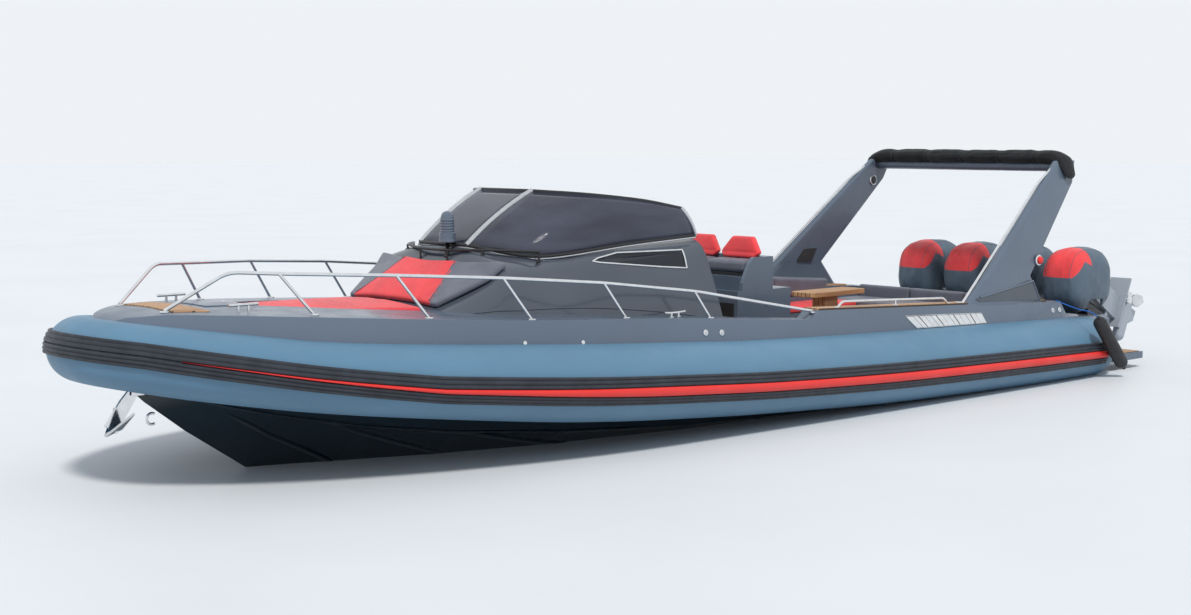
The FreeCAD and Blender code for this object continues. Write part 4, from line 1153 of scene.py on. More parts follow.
def swept(section):
    """Aft section leaning forward towards its shoulders, clear of the door."""
    for point in section:
        share = min(1.0, max(0.0, (abs(point.y) - AFT_SWEEP_INNER) / AFT_SWEEP_WIDTH))
        point.x += AFT_SWEEP * max(0.0, point.z - AFT_SWEEP_FROM) * share
    return section


def make_cabin():
    places = [0.325 + 0.075 * k for k in range(27)] + [2.350, 2.430, 2.465, 2.500, 2.535, 2.570]
    places += [2.570 + 0.07 * k for k in range(1, 8)]
    outer = [swept(trunk_section(0.100, 0, 0.02))] + [trunk_section(x, 0, 0.02) for x in places]
    cabin = loft_object("cabin_shell", outer, "cabin_paint")
    inner_places = [x for x in places if 0.39 < x < 2.80] + [2.850]
    inner = [swept(trunk_section(0.190, CABIN_WALL, 0.45))]
    inner += [trunk_section(x, CABIN_WALL, 0.45) for x in inner_places]
    bm = bmesh.new()
    loft_mesh(bm, inner)
    carve(cabin, cutter_object(bm))
    carve(cabin, cutter_box((0.050, 0.114, 0.474), (0.200, 0.606, 1.606)))
    for side in (-1, 1):
        bm = bmesh.new()
        outline = [[(x, side * y, z) for x, z in SIDE_WINDOW] for y in (0.9, 1.4)]
        loft_mesh(bm, outline)
        carve(cabin, cutter_object(bm))
    bevelled(cabin, 0.008, 2, 40)
    hinge = block("upper_hinge_block", (0.086, 0.597, 1.5603), (0.101, 0.640, 1.5903), "cabin_paint", 0.002)
    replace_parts(cabin, "cabin")
    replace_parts(hinge, "cabin")


def make_trunk_trim():
    """Glass and bright frames of the side windows, and a raised seam along each side."""
    for side in (-1, 1):
        name = side_name(side)
        line = []
        for (x0, z0), (x1, z1) in zip(SIDE_WINDOW, SIDE_WINDOW[1:] + SIDE_WINDOW[:1]):
            for j in range(6):
                x = x0 + (x1 - x0) * j / 6
                z = z0 + (z1 - z0) * j / 6
                line.append((x, side * (trunk_side(x, z) + 0.003), z))
        pipe("window_frame_%s" % name, line, 0.009, "steel", smooth=False, cyclic=True)
        glass = [[(x, side * (abs(y) - sink), z) for x, y, z in line] for sink in (0.004, 0.014)]
        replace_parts(loft_object("side_glass_%s" % name, glass, "side_glass", smooth=False), "side_windows")
        seam = []
        for k, x in enumerate(spaced(0.12, 2.87, 30)):
            z = straight(TRUNK_ROWS, x, 2) + 0.035 + 0.10 * math.sin(math.pi * k / 30)
            seam.append((x, side * (trunk_side(x, z) + 0.001), z))
        pipe("trunk_seam_%s" % name, seam, 0.006, "cabin_paint")


SEARCHLIGHT_PLACE = (2.498, 0.150)
# columns: radius, height
SEARCHLIGHT_STEM = [(0.030, 1.640), (0.030, 1.690), (0.020, 1.700), (0.020, 1.792)]


def make_searchlight():
    stem = turned("lamp_stem", SEARCHLIGHT_PLACE, SEARCHLIGHT_STEM, "rail_black")
    profile = [(0.050, 1.790), (0.078, 1.794), (0.078, 1.812), (0.074, 1.816), (0.073, 1.878)]
    for k in range(5):
        z = 1.884 + 0.024 * k
        profile += [(0.060, z), (0.064, z + 0.004), (0.064, z + 0.014), (0.060, z + 0.018)]
    profile += [(0.058, 2.012), (0.052, 2.036), (0.040, 2.056), (0.020, 2.067), (0.002, 2.070)]
    lamp = turned("lamp_bell", SEARCHLIGHT_PLACE, profile, "deck_paint")
    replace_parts(stem, "searchlight")
    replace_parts(bevelled(lamp, 0.002, 2), "searchlight")


# Cushions and covers
def soft_form(name, size, place, material, radius, crown, channels=(), pull=0.0):
    """Crowned cushion. place turns shares along and across and a height into a point."""
    length, width, thick = size
    bm = bmesh.new()
    bmesh.ops.create_cube(bm, size=1.0)
    bmesh.ops.subdivide_edges(bm, edges=bm.edges, cuts=23, use_grid_fill=True)
    half = V((0.5 * length, 0.5 * width, 0.5 * thick))
    round_off = min(radius, 0.98 * half.z)
    seed = 0.37 * len(bpy.data.objects)
    for vert in bm.verts:
        u, v, w = (math.sin(math.pi * c) for c in vert.co)
        point = V((u * half.x, v * half.y, w * half.z))
        core = V([max(-h + round_off, min(h - round_off, c)) for h, c in zip(half, point)])
        off = point - core
        if off.length > 1e-9:
            point = core + off.normalized() * round_off
        swell = (1 - u ** 4) * (1 - v ** 4)
        lift = max(0.0, point.z / half.z)
        crease = field.noise(V((point.x * 7 + seed, point.y * 7, 0.3)))
        crease += 0.5 * field.noise(V((point.x * 19, point.y * 19 + seed, 0.9)))
        point.z += (crown * swell + 0.0022 * crease * (1 - u ** 8) * (1 - v ** 8)) * lift
        edge = max(abs(point.x) / half.x, abs(point.y) / half.y)
        if edge > 0.9:
            point.x *= 1 - pull * (1 - v * v) * (abs(u) > 0.9)
            point.y *= 1 - pull * (1 - u * u) * (abs(v) > 0.9)
        for axis, share in channels:
            distance = (point.x - share * half.x) if axis == 0 else (point.y - share * half.y)
            if point.z > 0:
                point.z -= 0.45 * crown * math.exp(-(distance / 0.018) ** 2)
                point.z -= 0.004 * math.exp(-(distance / 0.006) ** 2)
        vert.co = place(point.x / half.x, point.y / half.y, point.z + half.z)
    obj = new_object(name, bm, material)
    fine = obj.modifiers.new("fine", "SUBSURF")
    fine.levels = 1
    fine.render_levels = 1
    return obj


def box_place(low, high):
    """Cushion lying in a box, its top up."""
    low = V(low)
    high = V(high)
    middle = 0.5 * (low + high)
    half = 0.5 * (high - low)

    def place(u, v, h):
        return V((middle.x + u * half.x, middle.y + v * half.y, low.z + h))
    return place


# Sun pads. columns: x, half width, edge height, crown height
BOW_PAD = [(4.480, 0.200, 1.345, 1.362), (3.900, 0.470, 1.312, 1.345), (3.130, 0.640, 1.288, 1.325)]
BOW_PAD_THICKNESS = 0.075
TRUNK_PAD_FORE = 2.992
TRUNK_PAD_FORE_HALF = 0.645
TRUNK_PAD_AFT_HALF = 0.912
# Aft edge of the trunk pad. columns: half width, x
TRUNK_PAD_AFT = [(0, 2.585), (0.450, 2.545), (0.900, 2.428)]


def bow_pad_place(u, v, h):
    x = BOW_PAD[0][0] + (0.5 + 0.5 * u) * (BOW_PAD[-1][0] - BOW_PAD[0][0])
    half = straight(BOW_PAD, x, 1) - 0.003
    edge = straight(BOW_PAD, x, 2)
    crown = straight(BOW_PAD, x, 3)
    return V((x, v * half, crown - (crown - edge) * abs(v) ** 1.5 - BOW_PAD_THICKNESS + h))


PAD_UP = V((0.45, 0, 0.89))
# Edge of the trunk pad's red middle: its aft end, and how far it runs forward and widens
RED_AFT_X = 2.50
RED_AFT_HALF = 0.35
RED_RUN = 0.55
RED_WIDENING = 0.23


def trunk_pad_place(u, v, h):
    t = 0.5 + 0.5 * u
    y = v * (TRUNK_PAD_FORE_HALF + t * (TRUNK_PAD_AFT_HALF - TRUNK_PAD_FORE_HALF))
    x = TRUNK_PAD_FORE + t * (straight(TRUNK_PAD_AFT, abs(y), 1) - TRUNK_PAD_FORE)
    return V((x, y, trunk_top(x, y) + 0.002)) + PAD_UP * h


def red_half(x):
    """Half width of the trunk pad's red middle."""
    return RED_AFT_HALF + (x - RED_AFT_X) * RED_WIDENING / RED_RUN


def make_pads():
    bow = soft_form("bow_sun_pad", (1.35, 1.2, 0.072), bow_pad_place, "cushion_red",
                    radius=0.030, crown=0.010, channels=((0, -0.05), (1, 0.0)))
    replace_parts(bow, "bow_pad")
    trunk = soft_form("trunk_sun_pad", (0.60, 1.6, 0.052), trunk_pad_place, "cushion_grey",
                      radius=0.022, crown=0.008)
    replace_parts(trunk, "trunk_pad")
    planes = []
    for side in (-1, 1):
        corner = V((RED_AFT_X + RED_RUN, side * (RED_AFT_HALF + RED_WIDENING), 0))
        planes.append((corner, V((RED_WIDENING, -side * RED_RUN, 0)).normalized()))
    split_by_planes(trunk, planes)
    paint_faces(trunk, "cushion_red", lambda c: abs(c.y) < red_half(c.x))
    for side in (-1, 1):
        line = []
        for x in spaced(2.56, 2.98, 12):
            y = red_half(x)
            line.append(V((x, side * y, trunk_top(x, y) + 0.002)) + PAD_UP * 0.0585)
        pipe("pad_piping_%s" % side_name(side), line, 0.005, "cushion_grey")


# Helm seats
SEAT_BACK_FOOT = (-1.140, 1.180)
SEAT_BACK_LEAN = 0.25
SEAT_FORE = -0.945
SEAT_LOW = 1.3555
SEAT_TOP = 1.487
SEAT_HALF = 0.262
SEAT_SPACING = 0.570
# Front outline of a seat's back cushion. columns: z, half width
BACK_OUTLINE = [(1.490, 0.215), (1.548, 0.265), (1.708, 0.135)]
BACK_THICKNESS = 0.075


def seat_back_face(z):
    return SEAT_BACK_FOOT[0] - (z - SEAT_BACK_FOOT[1]) * SEAT_BACK_LEAN + 0.0005


def make_seats():
    pieces = []
    thick = SEAT_TOP - SEAT_LOW - 0.006
    for k, y in enumerate((-0.5 * SEAT_SPACING, 0.5 * SEAT_SPACING)):
        def seat_place(u, v, h, y=y):
            z = SEAT_LOW + h
            aft = seat_back_face(z)
            return V((aft + (0.5 + 0.5 * u) * (SEAT_FORE - aft), y + v * SEAT_HALF, z))

        def back_place(u, v, h, y=y):
            z = BACK_OUTLINE[0][0] + (0.5 + 0.5 * u) * (BACK_OUTLINE[-1][0] - BACK_OUTLINE[0][0])
            return V((seat_back_face(z) + h, y + v * straight(BACK_OUTLINE, z, 1), z))
        pieces.append(soft_form("helm_seat_%d" % k, (0.24, 0.52, thick), seat_place, "cushion_grey",
                                radius=0.045, crown=0.008, channels=((1, 0.0),), pull=0.01))
        back_size = (0.22, 0.50, BACK_THICKNESS - 0.006)
        pieces.append(soft_form("helm_back_%d" % k, back_size, back_place, "cushion_red",
                                radius=0.022, crown=0.010, channels=((0, -0.45),)))
    for piece in pieces:
        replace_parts(piece, "helm_cushions")


# Painted shade: these faces of the seat module's slot under the seat cushions get a black material, for the
# shadow in that gap.
def in_painted_shade_slot(c):
    return 1.322 < c.z < 1.354 and abs(c.y) < 0.571 and -1.26 < c.x < -0.85


def make_seat_trim():
    """Painted shade: black faces in the slot under the seat cushions, for the shadow there; hooks, doors and
    latches on the locker's front.
    """
    paint_faces(frame["nodes"]["seat_module"], "rubber_black", in_painted_shade_slot)
    for y in (0.30, 0.12, -0.12):
        line = [(-0.788, y, 1.12), (-0.760, y, 1.115), (-0.752, y, 1.085), (-0.768, y, 1.070)]
        pipe("locker_hook", line, 0.006, "steel")
        disc("locker_hook_foot", (-0.790, y, 1.120), (1, 0, 0), 0.018, 0.006, "steel")
    for y in (-0.30, 0.30):
        block("locker_door", (-0.792, y - 0.27, 0.50), (-0.782, y + 0.27, 1.06), "rubber_black", 0.004)
        disc("locker_latch", (-0.783, y + 0.20, 0.80), (1, 0, 0), 0.022, 0.006, "steel")


# Sofa
SOFA_LOW = 0.6906
SOFA_SEAT = 0.082
SOFA_HALF = 1.170
SOFA_INNER = 0.730
SOFA_AFT = -4.900
SOFA_BENCH = -4.350
SOFA_FORE = -2.410
SOFA_BACK_TOP = 0.908
SOFA_BACK_X = -4.987
# Long cushion against the starboard side: its place, foot, and top at its aft end and rise to its fore end
SIDE_BACK_Y = -1.334
SIDE_BACK_LOW = 0.8208
SIDE_BACK_TOP = 1.010
SIDE_BACK_RISE = 0.140


def make_sofa_cushions():
    made = []
    aft = SOFA_AFT + 0.001
    thirds = ((-SOFA_HALF, -0.40), (-0.39, 0.39), (0.40, SOFA_HALF))
    row = [(aft, SOFA_BENCH - 0.012, y0, y1, "cushion_grey") for y0, y1 in thirds]
    middle = 0.5 * (SOFA_BENCH + SOFA_FORE)
    for side in (-1, 1):
        a, b = sorted((side * SOFA_INNER, side * SOFA_HALF))
        row.append((SOFA_BENCH + 0.004, middle - 0.004, a, b, "cushion_red"))
        row.append((middle + 0.004, SOFA_FORE, a, b, "cushion_red"))
    for k, (x0, x1, y0, y1, colour) in enumerate(row):
        made.append(soft_form("sofa_seat_%d" % k, (x1 - x0, y1 - y0, SOFA_SEAT - 0.006),
                              box_place((x0, y0, SOFA_LOW), (x1, y1, SOFA_LOW + SOFA_SEAT)), colour,
                              radius=0.030, crown=0.010, pull=0.010))
    for k, (y0, y1) in enumerate(thirds):
        def back_place(u, v, h, y0=y0, y1=y1):
            z = SOFA_LOW + (0.5 + 0.5 * u) * (SOFA_BACK_TOP - SOFA_LOW)
            return V((SOFA_BACK_X + h, 0.5 * (y0 + y1) + v * 0.5 * (y1 - y0), z))
        made.append(soft_form("sofa_back_%d" % k, (0.218, y1 - y0, 0.074), back_place, "cushion_grey",
                              radius=0.028, crown=0.008, pull=0.008))
    for k, (x0, x1) in enumerate(((SOFA_BENCH + 0.002, middle - 0.003), (middle + 0.003, SOFA_FORE - 0.001))):
        def side_place(u, v, h, x0=x0, x1=x1):
            x = x0 + (0.5 + 0.5 * u) * (x1 - x0)
            top = SIDE_BACK_TOP + (x - SOFA_BENCH) / (SOFA_FORE - SOFA_BENCH) * SIDE_BACK_RISE
            z = SIDE_BACK_LOW + (0.5 + 0.5 * v) * (top - 0.002 - SIDE_BACK_LOW)
            return V((x, SIDE_BACK_Y + h, z))
        made.append(soft_form("side_back_%d" % k, (x1 - x0, 0.27, 0.150), side_place, "cushion_grey",
                              radius=0.040, crown=0.008, pull=0.008))
    for piece in made:
        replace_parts(piece, "sofa_cushions")


# Engines, drawn upright about the tilt pivot and then tilted up
ENGINE_TILT = math.radians(65)
ENGINE_YS = (-1.068, -0.356, 0.356, 1.068)
PIVOT = (-6.290, 0.640)
# Cloth cover of an engine in the raised pose
COVER_CENTRE = (-6.255, 1.0125)
COVER_HALF = (0.437, 0.286, 0.4125)
COVER_PLAN_POWER = 4.2
COVER_SIDE_POWER = 2.8
# Lower edge of the cover's skirts and of its middle, open for the bracket. columns: x, height
COVER_SKIRT = [(-6.720, 0.760), (-6.570, 0.620), (-6.460, 0.600), (-6.430, 0.805), (-6.150, 0.805),
               (-6.120, 0.620), (-5.950, 0.600), (-5.800, 0.640)]
COVER_MIDDLE = [(-6.720, 0.820), (-6.550, 0.880), (-6.320, 0.930), (-6.140, 0.700), (-5.950, 0.620),
                (-5.800, 0.640)]
SKIRT_FROM = 0.215
# Lower edge of the red crown in the raised pose. columns: x, height
CROWN_EDGE = [(-6.175, 1.205), (-6.035, 1.262), (-5.850, 1.075), (-5.500, 1.060)]
CROWN_AFT = -6.175


def engine_matrix(y):
    return Matrix.Translation((PIVOT[0], y, PIVOT[1])) @ Matrix.Rotation(ENGINE_TILT, 4, "Y")


def make_engine(number, y):
    matrix = engine_matrix(y)
    cowl = cover_form(number, y, "outboard_%d" % number)
    planes = []
    for (x0, z0), (x1, z1) in zip(CROWN_EDGE, CROWN_EDGE[1:]):
        planes.append((V((x0, 0, z0)), V((z1 - z0, 0, x0 - x1)).normalized()))
    planes.append((V((CROWN_AFT, 0, 0)), V((1, 0, 0))))
    split_by_planes(cowl, planes)
    paint_faces(cowl, "cover_red", lambda c: c.x > CROWN_AFT and c.z > straight(CROWN_EDGE, c.x, 1))
    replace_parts(cowl, "engine_cover_%d" % number)
    cover_seams(number, y)
    propeller(number, matrix)


def round_norm(a, b, power):
    """Distance that makes a rounded square of the points at the same distance."""
    return (abs(a) ** power + abs(b) ** power) ** (1 / power)


def cover_point(direction, number, y, sink=0.010):
    """Point of the cloth cover along a direction from its middle."""
    flat = round_norm(direction.x, direction.y, COVER_PLAN_POWER)
    d = direction / round_norm(flat, direction.z, COVER_SIDE_POWER)
    size = V(COVER_HALF)
    point = V((d.x * size.x, d.y * size.y, d.z * size.z))
    point.y *= 1 - 0.10 * max(0.0, d.z) ** 2
    puckers = field.noise(V((point.x * 5, point.y * 7, point.z * 5)) + V((number * 3.1, 0, 0)))
    fine = field.noise(V((point.x * 16, point.y * 16, point.z * 9)) + V((0, number * 2.3, 0)))
    normal = V((d.x / size.x, d.y / size.y, d.z / size.z)).normalized()
    point += normal * (0.009 * puckers + 0.004 * fine - sink)
    point += V((COVER_CENTRE[0], y, COVER_CENTRE[1]))
    edge = COVER_SKIRT if abs(point.y - y) > SKIRT_FROM else COVER_MIDDLE
    point.z = max(point.z, straight(edge, point.x, 1))
    return point


def cover_form(number, y, body):
    """Fabric cover over the cowling: full, rounded, with puckers."""
    bm = bmesh.new()
    bmesh.ops.create_cube(bm, size=2.0)
    bmesh.ops.subdivide_edges(bm, edges=bm.edges, cuts=43, use_grid_fill=True)
    for vert in bm.verts:
        vert.co = cover_point(vert.co.copy(), number, y)
    cowl = new_object("engine_cover_cloth_%d" % number, bm, "engine_paint", body)
    return cowl


def cover_seams(number, y):
    """Two piped seams over the cover."""
    body = "outboard_%d" % number
    lines = []
    for across in (-0.60, 0.60):
        line = []
        for degrees in spaced(-20, 200, 40):
            angle = math.radians(degrees)
            line.append(cover_point(V((math.cos(angle), across, math.sin(angle))), number, y, 0.009))
        lines.append(pipe("seam", line, 0.003, "engine_paint", body, smooth=False))
    joined("cover_seams_%d" % number, lines)


# Propeller, in the upright engine's own place about the tilt pivot
HUB_X = -0.4805
HUB_Z = -1.0
# columns: x from the hub's fore end, radius
HUB_PROFILE = [(0.0, 0.050), (-0.006, 0.060), (-0.07, 0.062), (-0.135, 0.056), (-0.149, 0.048)]
BLADE_ROOT = 0.052
BLADE_LENGTH = 0.146
BLADE_THICKNESS = 0.007


def blade_point(t, across, turn):
    """Point on a blade: t from root to tip, across from -0.5 to 0.5, turn of the whole blade."""
    radius = BLADE_ROOT + t * BLADE_LENGTH
    chord = 0.10 + 0.09 * math.sin(math.pi * min(1.0, t * 1.05)) - 0.30 * max(0.0, t - 0.75)
    pitch = math.radians(62 - 34 * t)
    q = across * chord
    x = HUB_X - 0.075 - 0.03 * t + q * math.cos(pitch)
    x += 0.010 * across ** 2 * 4 * t
    x = min(max(x, HUB_X - 0.142), HUB_X - 0.006)
    angle = q * math.sin(pitch) / radius + 0.35 * t * t + turn
    return V((x, radius * math.sin(angle), HUB_Z + radius * math.cos(angle)))


def propeller(number, matrix):
    """Three cupped blades on a hub."""
    body = "screw_%d" % number
    rings = [[matrix @ V((HUB_X + x, r * c, HUB_Z + r * s)) for c, s in circle(28)] for x, r in HUB_PROFILE]
    pieces = [loft_object("hub", rings, "steel", body)]
    for degrees in (0, 120, 240):
        turn = math.radians(degrees)
        rows = [[matrix @ blade_point(i / 10, j / 8 - 0.5, turn) for j in range(9)] for i in range(11)]
        blade = sheet("blade", rows, "steel", BLADE_THICKNESS, body)
        bpy.context.view_layer.objects.active = blade
        bpy.ops.object.modifier_apply(modifier="thick")
        pieces.append(blade)
    screw = joined("propeller_blades_%d" % number, pieces)
    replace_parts(screw, "propeller_%d" % number)


# Arch and sunshade roll. columns: height, front x, aft x, outer y, inner y
ARCH_ROWS = [
    (0.860, -3.290, -4.860, 1.545, 1.440),
    (1.190, -3.660, -4.580, 1.560, 1.460),
    (2.210, -4.985, -5.600, 1.415, 1.320),
    (2.460, -5.320, -5.700, 1.370, 1.280),
]


def leg_side(z):
    """Outer half width of the arch's leg at a height."""
    return straight(ARCH_ROWS, z, 3)


# Blade section of a leg. columns: share from its front to its back, share of its half thickness
LEG_OUTLINE = [(0.0, 0.0), (0.02, 0.55), (0.07, 0.90), (0.20, 1.0), (0.62, 1.0), (0.97, 0.62), (1.0, 0.30),
               (1.0, -0.30), (0.97, -0.62), (0.62, -1.0), (0.20, -1.0), (0.07, -0.90), (0.02, -0.55)]
# Bar between the legs' heads: centre and half sizes in x and z, reach to each side, roundness
BAR_CENTRE = (-5.535, 2.385)
BAR_HALF = (0.155, 0.055)
BAR_REACH = 1.325
BAR_POWER = 0.6
# Trim of the legs, as x and z of corners
LEG_PANEL = [(-3.52, 0.995), (-3.72, 1.025), (-4.575, 1.128), (-4.735, 0.915), (-3.60, 0.962)]
LEG_CREASE = [(-3.60, 1.008), (-4.585, 1.134), (-4.745, 0.905)]
LEG_GRILLE = [(-4.064, 1.220), (-4.264, 1.481), (-4.491, 1.460), (-4.326, 1.207)]
LEG_LIGHT = (-4.72, 1.357)
LEG_SPEAKER = (-5.36, 2.19)
# Lens of the navigation light. columns: radius, reach outward
LENS_PROFILE = [(0.046, 0.0), (0.044, 0.016), (0.034, 0.030), (0.018, 0.038), (0.002, 0.040)]


def leg_section(z, side):
    """Blade section: rounded nose, ridge along the outer face and a thin trailing edge."""
    front, aft, outer, inner = (straight(ARCH_ROWS, z, c) for c in range(1, 5))
    chord = front - aft
    middle = 0.5 * (outer + inner)
    half = 0.5 * (outer - inner)
    return [V((front - a * chord, side * (middle + b * half), z)) for a, b in LEG_OUTLINE]


def make_arch():
    pieces = []
    heights = [0.862] + [row[0] for row in ARCH_ROWS[1:]]
    for side in (-1, 1):
        leg = loft_object("leg", [leg_section(z, side) for z in heights], "deck_paint")
        pieces.append(bevelled(leg, 0.012, 3, 20))
    outline = []
    for c, s in circle(24):
        x = BAR_CENTRE[0] + BAR_HALF[0] * math.copysign(abs(c) ** BAR_POWER, c)
        z = BAR_CENTRE[1] + BAR_HALF[1] * math.copysign(abs(s) ** BAR_POWER, s)
        outline.append((x, z))
    sections = [[(x, y, z) for x, z in outline] for y in spaced(-BAR_REACH, BAR_REACH, 24)]
    pieces.append(loft_object("bar", sections, "deck_paint"))
    for piece in pieces:
        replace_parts(piece, "arch")
    make_arch_trim()


def plate(name, near, far, material, edge):
    """Thin plate between two outlines."""
    bevelled(loft_object(name, [near, far], material, smooth=False), edge, 2)


def make_arch_trim():
    """Dark panel, crease, navigation light, grille and speaker on each leg."""
    for side in (-1, 1):
        name = side_name(side)
        near = [(x, side * (leg_side(z) - 0.003), z) for x, z in LEG_PANEL]
        far = [(x, side * (leg_side(z) + 0.004), z) for x, z in LEG_PANEL]
        plate("leg_panel_%s" % name, near, far, "panel_dark", 0.002)
        line = [(x, side * (leg_side(z) + 0.002), z) for x, z in LEG_CREASE]
        pipe("leg_crease_%s" % name, line, 0.010, "deck_paint", smooth=False)
        x, z = LEG_LIGHT
        y = leg_side(z)
        disc("light_plate_%s" % name, (x, side * (y - 0.006), z), (0, side, 0), 0.062, 0.020, "steel")
        rings = []
        for radius, out in LENS_PROFILE:
            rings.append([(x + radius * c, side * (y + 0.010 + out), z + radius * s) for c, s in circle(28)])
        loft_object("light_lens_%s" % name, rings, "stripe_red" if side > 0 else "lens_green")
    for side in (-1, 1):
        near, far = ([(x, side * y, z) for x, z in LEG_GRILLE] for y in (1.452, 1.436))
        plate("leg_grille_%s" % side_name(side), near, far, "rubber_black", 0.003)
    for side in (-1, 1):
        x, z = LEG_SPEAKER
        place = (x, side * (straight(ARCH_ROWS, z, 4) + 0.004), z)
        disc("speaker_ring", place, (0, -side, 0), 0.066, 0.014, "steel")
        disc("speaker_cone", place, (0, -side, 0), 0.054, 0.020, "rubber_black")


# Roll of the folded sunshade. columns: y, height of its centre, half height
ROLL_ROWS = [(-1.450, 2.290, 0.050), (-1.370, 2.440, 0.080), (-1.180, 2.495, 0.085), (1.180, 2.495, 0.085),
             (1.370, 2.440, 0.080), (1.450, 2.290, 0.050)]
ROLL_X = -5.470
ROLL_STRAPS = (-1.02, -0.52, 0.0, 0.52, 1.02)
# Section of a strap. columns: reach outward, y from its middle
STRAP_SECTION = ((0.0, -0.02), (0.004, -0.018), (0.004, 0.018), (0.0, 0.02))


def make_roll():
    """Rolled cloth with folds, pinched by its straps."""
    sections = []
    for y in spaced(-1.445, 1.445, 160):
        z = eased(ROLL_ROWS, y, 1)
        half = eased(ROLL_ROWS, y, 2)
        pinch = min(1.0, 0.86 + 0.14 * min(abs(y - s) for s in ROLL_STRAPS) / 0.10)
        reach_x = 1.80 * half * pinch
        reach_z = 0.96 * half * pinch
        ring = []
        for k in range(48):
            angle = 2 * math.pi * k / 48
            c = math.cos(angle)
            s = math.sin(angle)
            fold = field.noise(V((y * 2.2, 2.4 * c, 2.4 * s)))
            fold += 0.6 * field.noise(V((y * 9.0, 1.3 * angle, 4.1)))
            fold += 0.8 * max(0.0, 0.5 - abs(math.sin(2.5 * angle + 0.8 * y)))
            share = 1 + 0.085 * fold
            ring.append(V((ROLL_X + reach_x * c * share, y, z + reach_z * s * share)))
        sections.append(ring)
    roll = loft_object("sunshade_roll", sections, "canvas_black")
    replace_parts(roll, "bimini_roll")
    straps = []
    for y in ROLL_STRAPS:
        z = eased(ROLL_ROWS, y, 1)
        half = eased(ROLL_ROWS, y, 2)
        rings = []
        for c, s in circle(24) + [(1.0, 0.0)]:
            rings.append([(ROLL_X + (1.58 * half + out) * c, y + dy, z + (0.845 * half + out) * s)
                          for out, dy in STRAP_SECTION])
        straps.append(loft_object("strap", rings, "canvas_black", cap=False))
    joined("roll_straps", straps)


# Table, sole and helm
TABLE_MIDDLE = -2.940
TABLE_HALF = (0.460, 0.165)
TABLE_HEIGHTS = ((0.976, -0.006), (0.982, 0.0), (1.024, 0.0), (1.030, -0.006))
TABLE_CORNER = 0.050


def make_table_top():
    """Rounded teak leaf with softened edges."""
    outline = []
    for k, (ahead, aside) in enumerate(((1, 1), (-1, 1), (-1, -1), (1, -1))):
        cx = TABLE_MIDDLE + ahead * (TABLE_HALF[0] - TABLE_CORNER)
        cy = aside * (TABLE_HALF[1] - TABLE_CORNER)
        for degrees in spaced(90 * k, 90 * k + 90, 8):
            angle = math.radians(degrees)
            outline.append((cx + TABLE_CORNER * math.cos(angle), cy + TABLE_CORNER * math.sin(angle)))
    sections = []
    for z, grow in TABLE_HEIGHTS:
        ring = []
        for x, y in outline:
            away = V((x - TABLE_MIDDLE, y, 0)).normalized()
            ring.append((x + away.x * grow, y + away.y * grow, z))
        sections.append(ring)
    top = loft_object("table_leaf", sections, "teak")
    bevelled(top, 0.002, 2)
    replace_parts(top, "table_top")


SOLE_TOP = 0.450
STEP_TOP = 0.188
# Planking on both sides. columns: name, aft and fore x, inner and outer y, low and high z
SIDE_PLANKS = [
    ("side_sole", -2.390, 0.092, 0.722, 1.182, SOLE_TOP - 0.001, SOLE_TOP + 0.006),
    ("step_planks", -6.620, -6.020, 1.430, 1.715, STEP_TOP, STEP_TOP + 0.008),
]


def make_sole():
    """Planked sole between the benches and on the boarding steps."""
    block("cockpit_sole", (-4.340, -0.712, SOLE_TOP - 0.001), (0.092, 0.712, SOLE_TOP + 0.006), "teak", 0.002)
    for side in (-1, 1):
        for name, aft, fore, inner, outer, low, high in SIDE_PLANKS:
            a, b = sorted((side * inner, side * outer))
            block("%s_%s" % (name, side_name(side)), (aft, a, low), (fore, b, high), "teak", 0.002)


SCREEN_PLACE = (-0.075, 0, 1.555)
SCREEN_LEAN = math.radians(32)
DOOR_GRAB = [(0.098, 0.70, 1.02), (0.070, 0.70, 1.05), (0.070, 0.70, 1.35), (0.098, 0.70, 1.38)]


def make_helm_trim():
    """Two screens on the console and a grab bar by the door."""
    for y, size in ((-0.80, 0.17), (-0.42, 0.12)):
        low = (-0.006, y - size, -0.10)
        high = (0.006, y + size, 0.10)
        screen = block("console_screen", low, high, "rubber_black", 0.004)
        screen.matrix_world = Matrix.Translation(SCREEN_PLACE) @ Matrix.Rotation(SCREEN_LEAN, 4, "Y")
    pipe("door_grab", DOOR_GRAB, 0.010, "steel")


BOW_EYE_PLACE = (5.335, 0.500)
BOW_EYE_RADIUS = 0.045
BOW_HANDLE = [(5.985, 0.10, 0.955), (5.960, 0.12, 0.905), (5.860, 0.13, 0.860), (5.760, 0.12, 0.845)]
# Section of the handle. columns: y, height
HANDLE_SECTION = [(-0.035, -0.002), (-0.028, -0.012), (0.028, -0.012), (0.035, -0.002), (0.028, 0.008),
                  (-0.028, 0.008)]


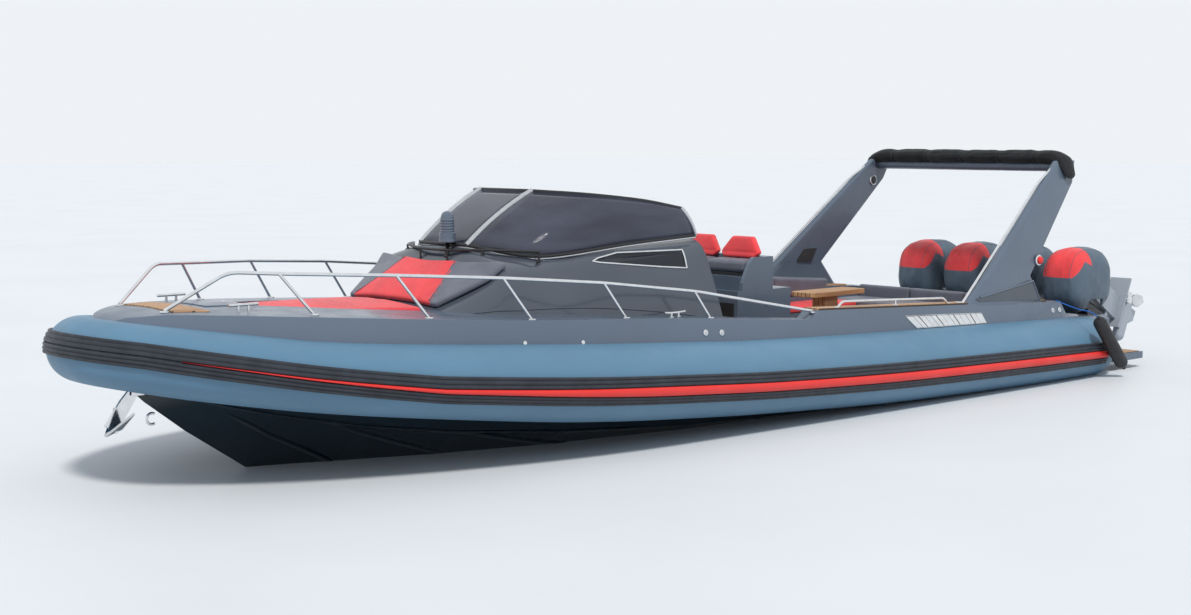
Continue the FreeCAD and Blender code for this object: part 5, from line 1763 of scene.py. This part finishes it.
def make_bow_fittings():
    """Eye on the stem, cheeks for the anchor roller and a lifting handle under the nose."""
    x, z = BOW_EYE_PLACE
    angles = [math.radians(degrees) for degrees in spaced(-120, 120, 16)]
    ring = [(x + BOW_EYE_RADIUS * math.cos(a), 0, z + BOW_EYE_RADIUS * math.sin(a)) for a in angles]
    pipe("bow_eye", ring, 0.010, "steel", smooth=False)
    for y in (-0.034, 0.034):
        block("roller_cheek", (5.400, y - 0.005, 0.700), (5.520, y + 0.005, 0.840), "steel", 0.004)
    rings = [[(x, y + dy, z + dz) for dy, dz in HANDLE_SECTION] for x, y, z in rounded(BOW_HANDLE, 0.08, 4)]
    loft_object("bow_handle", rings, "tube_fabric")


# Middle of the fender: outside the tube's radius and strake by its own radius
FENDER_Y = TUBE_HALF_BEAM + 0.360 + 0.036 + 0.060


def make_fender_trim():
    """Eyes at both ends of the fender and its short lanyard to the tube."""
    y = FENDER_Y
    top = V((-5.165, y, 0.690))
    end = V((-5.675, y, 0.140))
    line = [top, (-5.14, y - 0.06, 0.760), (-5.12, y - 0.25, 0.800), (-5.10, 1.53, 0.878)]
    pipe("fender_lanyard", line, 0.006, "rope_blue")
    for place, out in ((top, V((0.035, 0, 0.04))), (end, V((-0.035, 0, -0.04)))):
        pipe("fender_eye", [place, place + out], 0.020, "rubber_black", smooth=False)


place_camera()
light_scene()
make_deck()
make_spray_rails()
make_deck_fittings()
make_cabin()
make_trunk_trim()
make_searchlight()
make_arch()
make_roll()
make_coaming_rails()
make_table_top()
make_sole()
make_pads()
make_seats()
make_sofa_cushions()
make_helm_trim()
make_bow_fittings()
make_fender_trim()
for number, y in enumerate(ENGINE_YS, 1):
    make_engine(number, y)
make_tube()
make_bow_rail()
make_handrail()
make_windshield()
BEVELS = {
    "hull": 0.012, "cabin": 0.03, "helm_console": 0.02, "seat_module": 0.02,
    "sofa_base": 0.015, "swim_platforms": 0.012, "coaming_caps": 0.004,
    "cabin_door": 0.006, "clamp_brackets": 0.006, "anchor": 0.005,
}
for name, node in frame["nodes"].items():
    node.data.materials.clear()
    node.data.materials.append(MAT[SLOT_OF[name]])
    bevelled(node, BEVELS.get(name, 0.003), 3 if name in BEVELS else 2)
make_seat_trim()
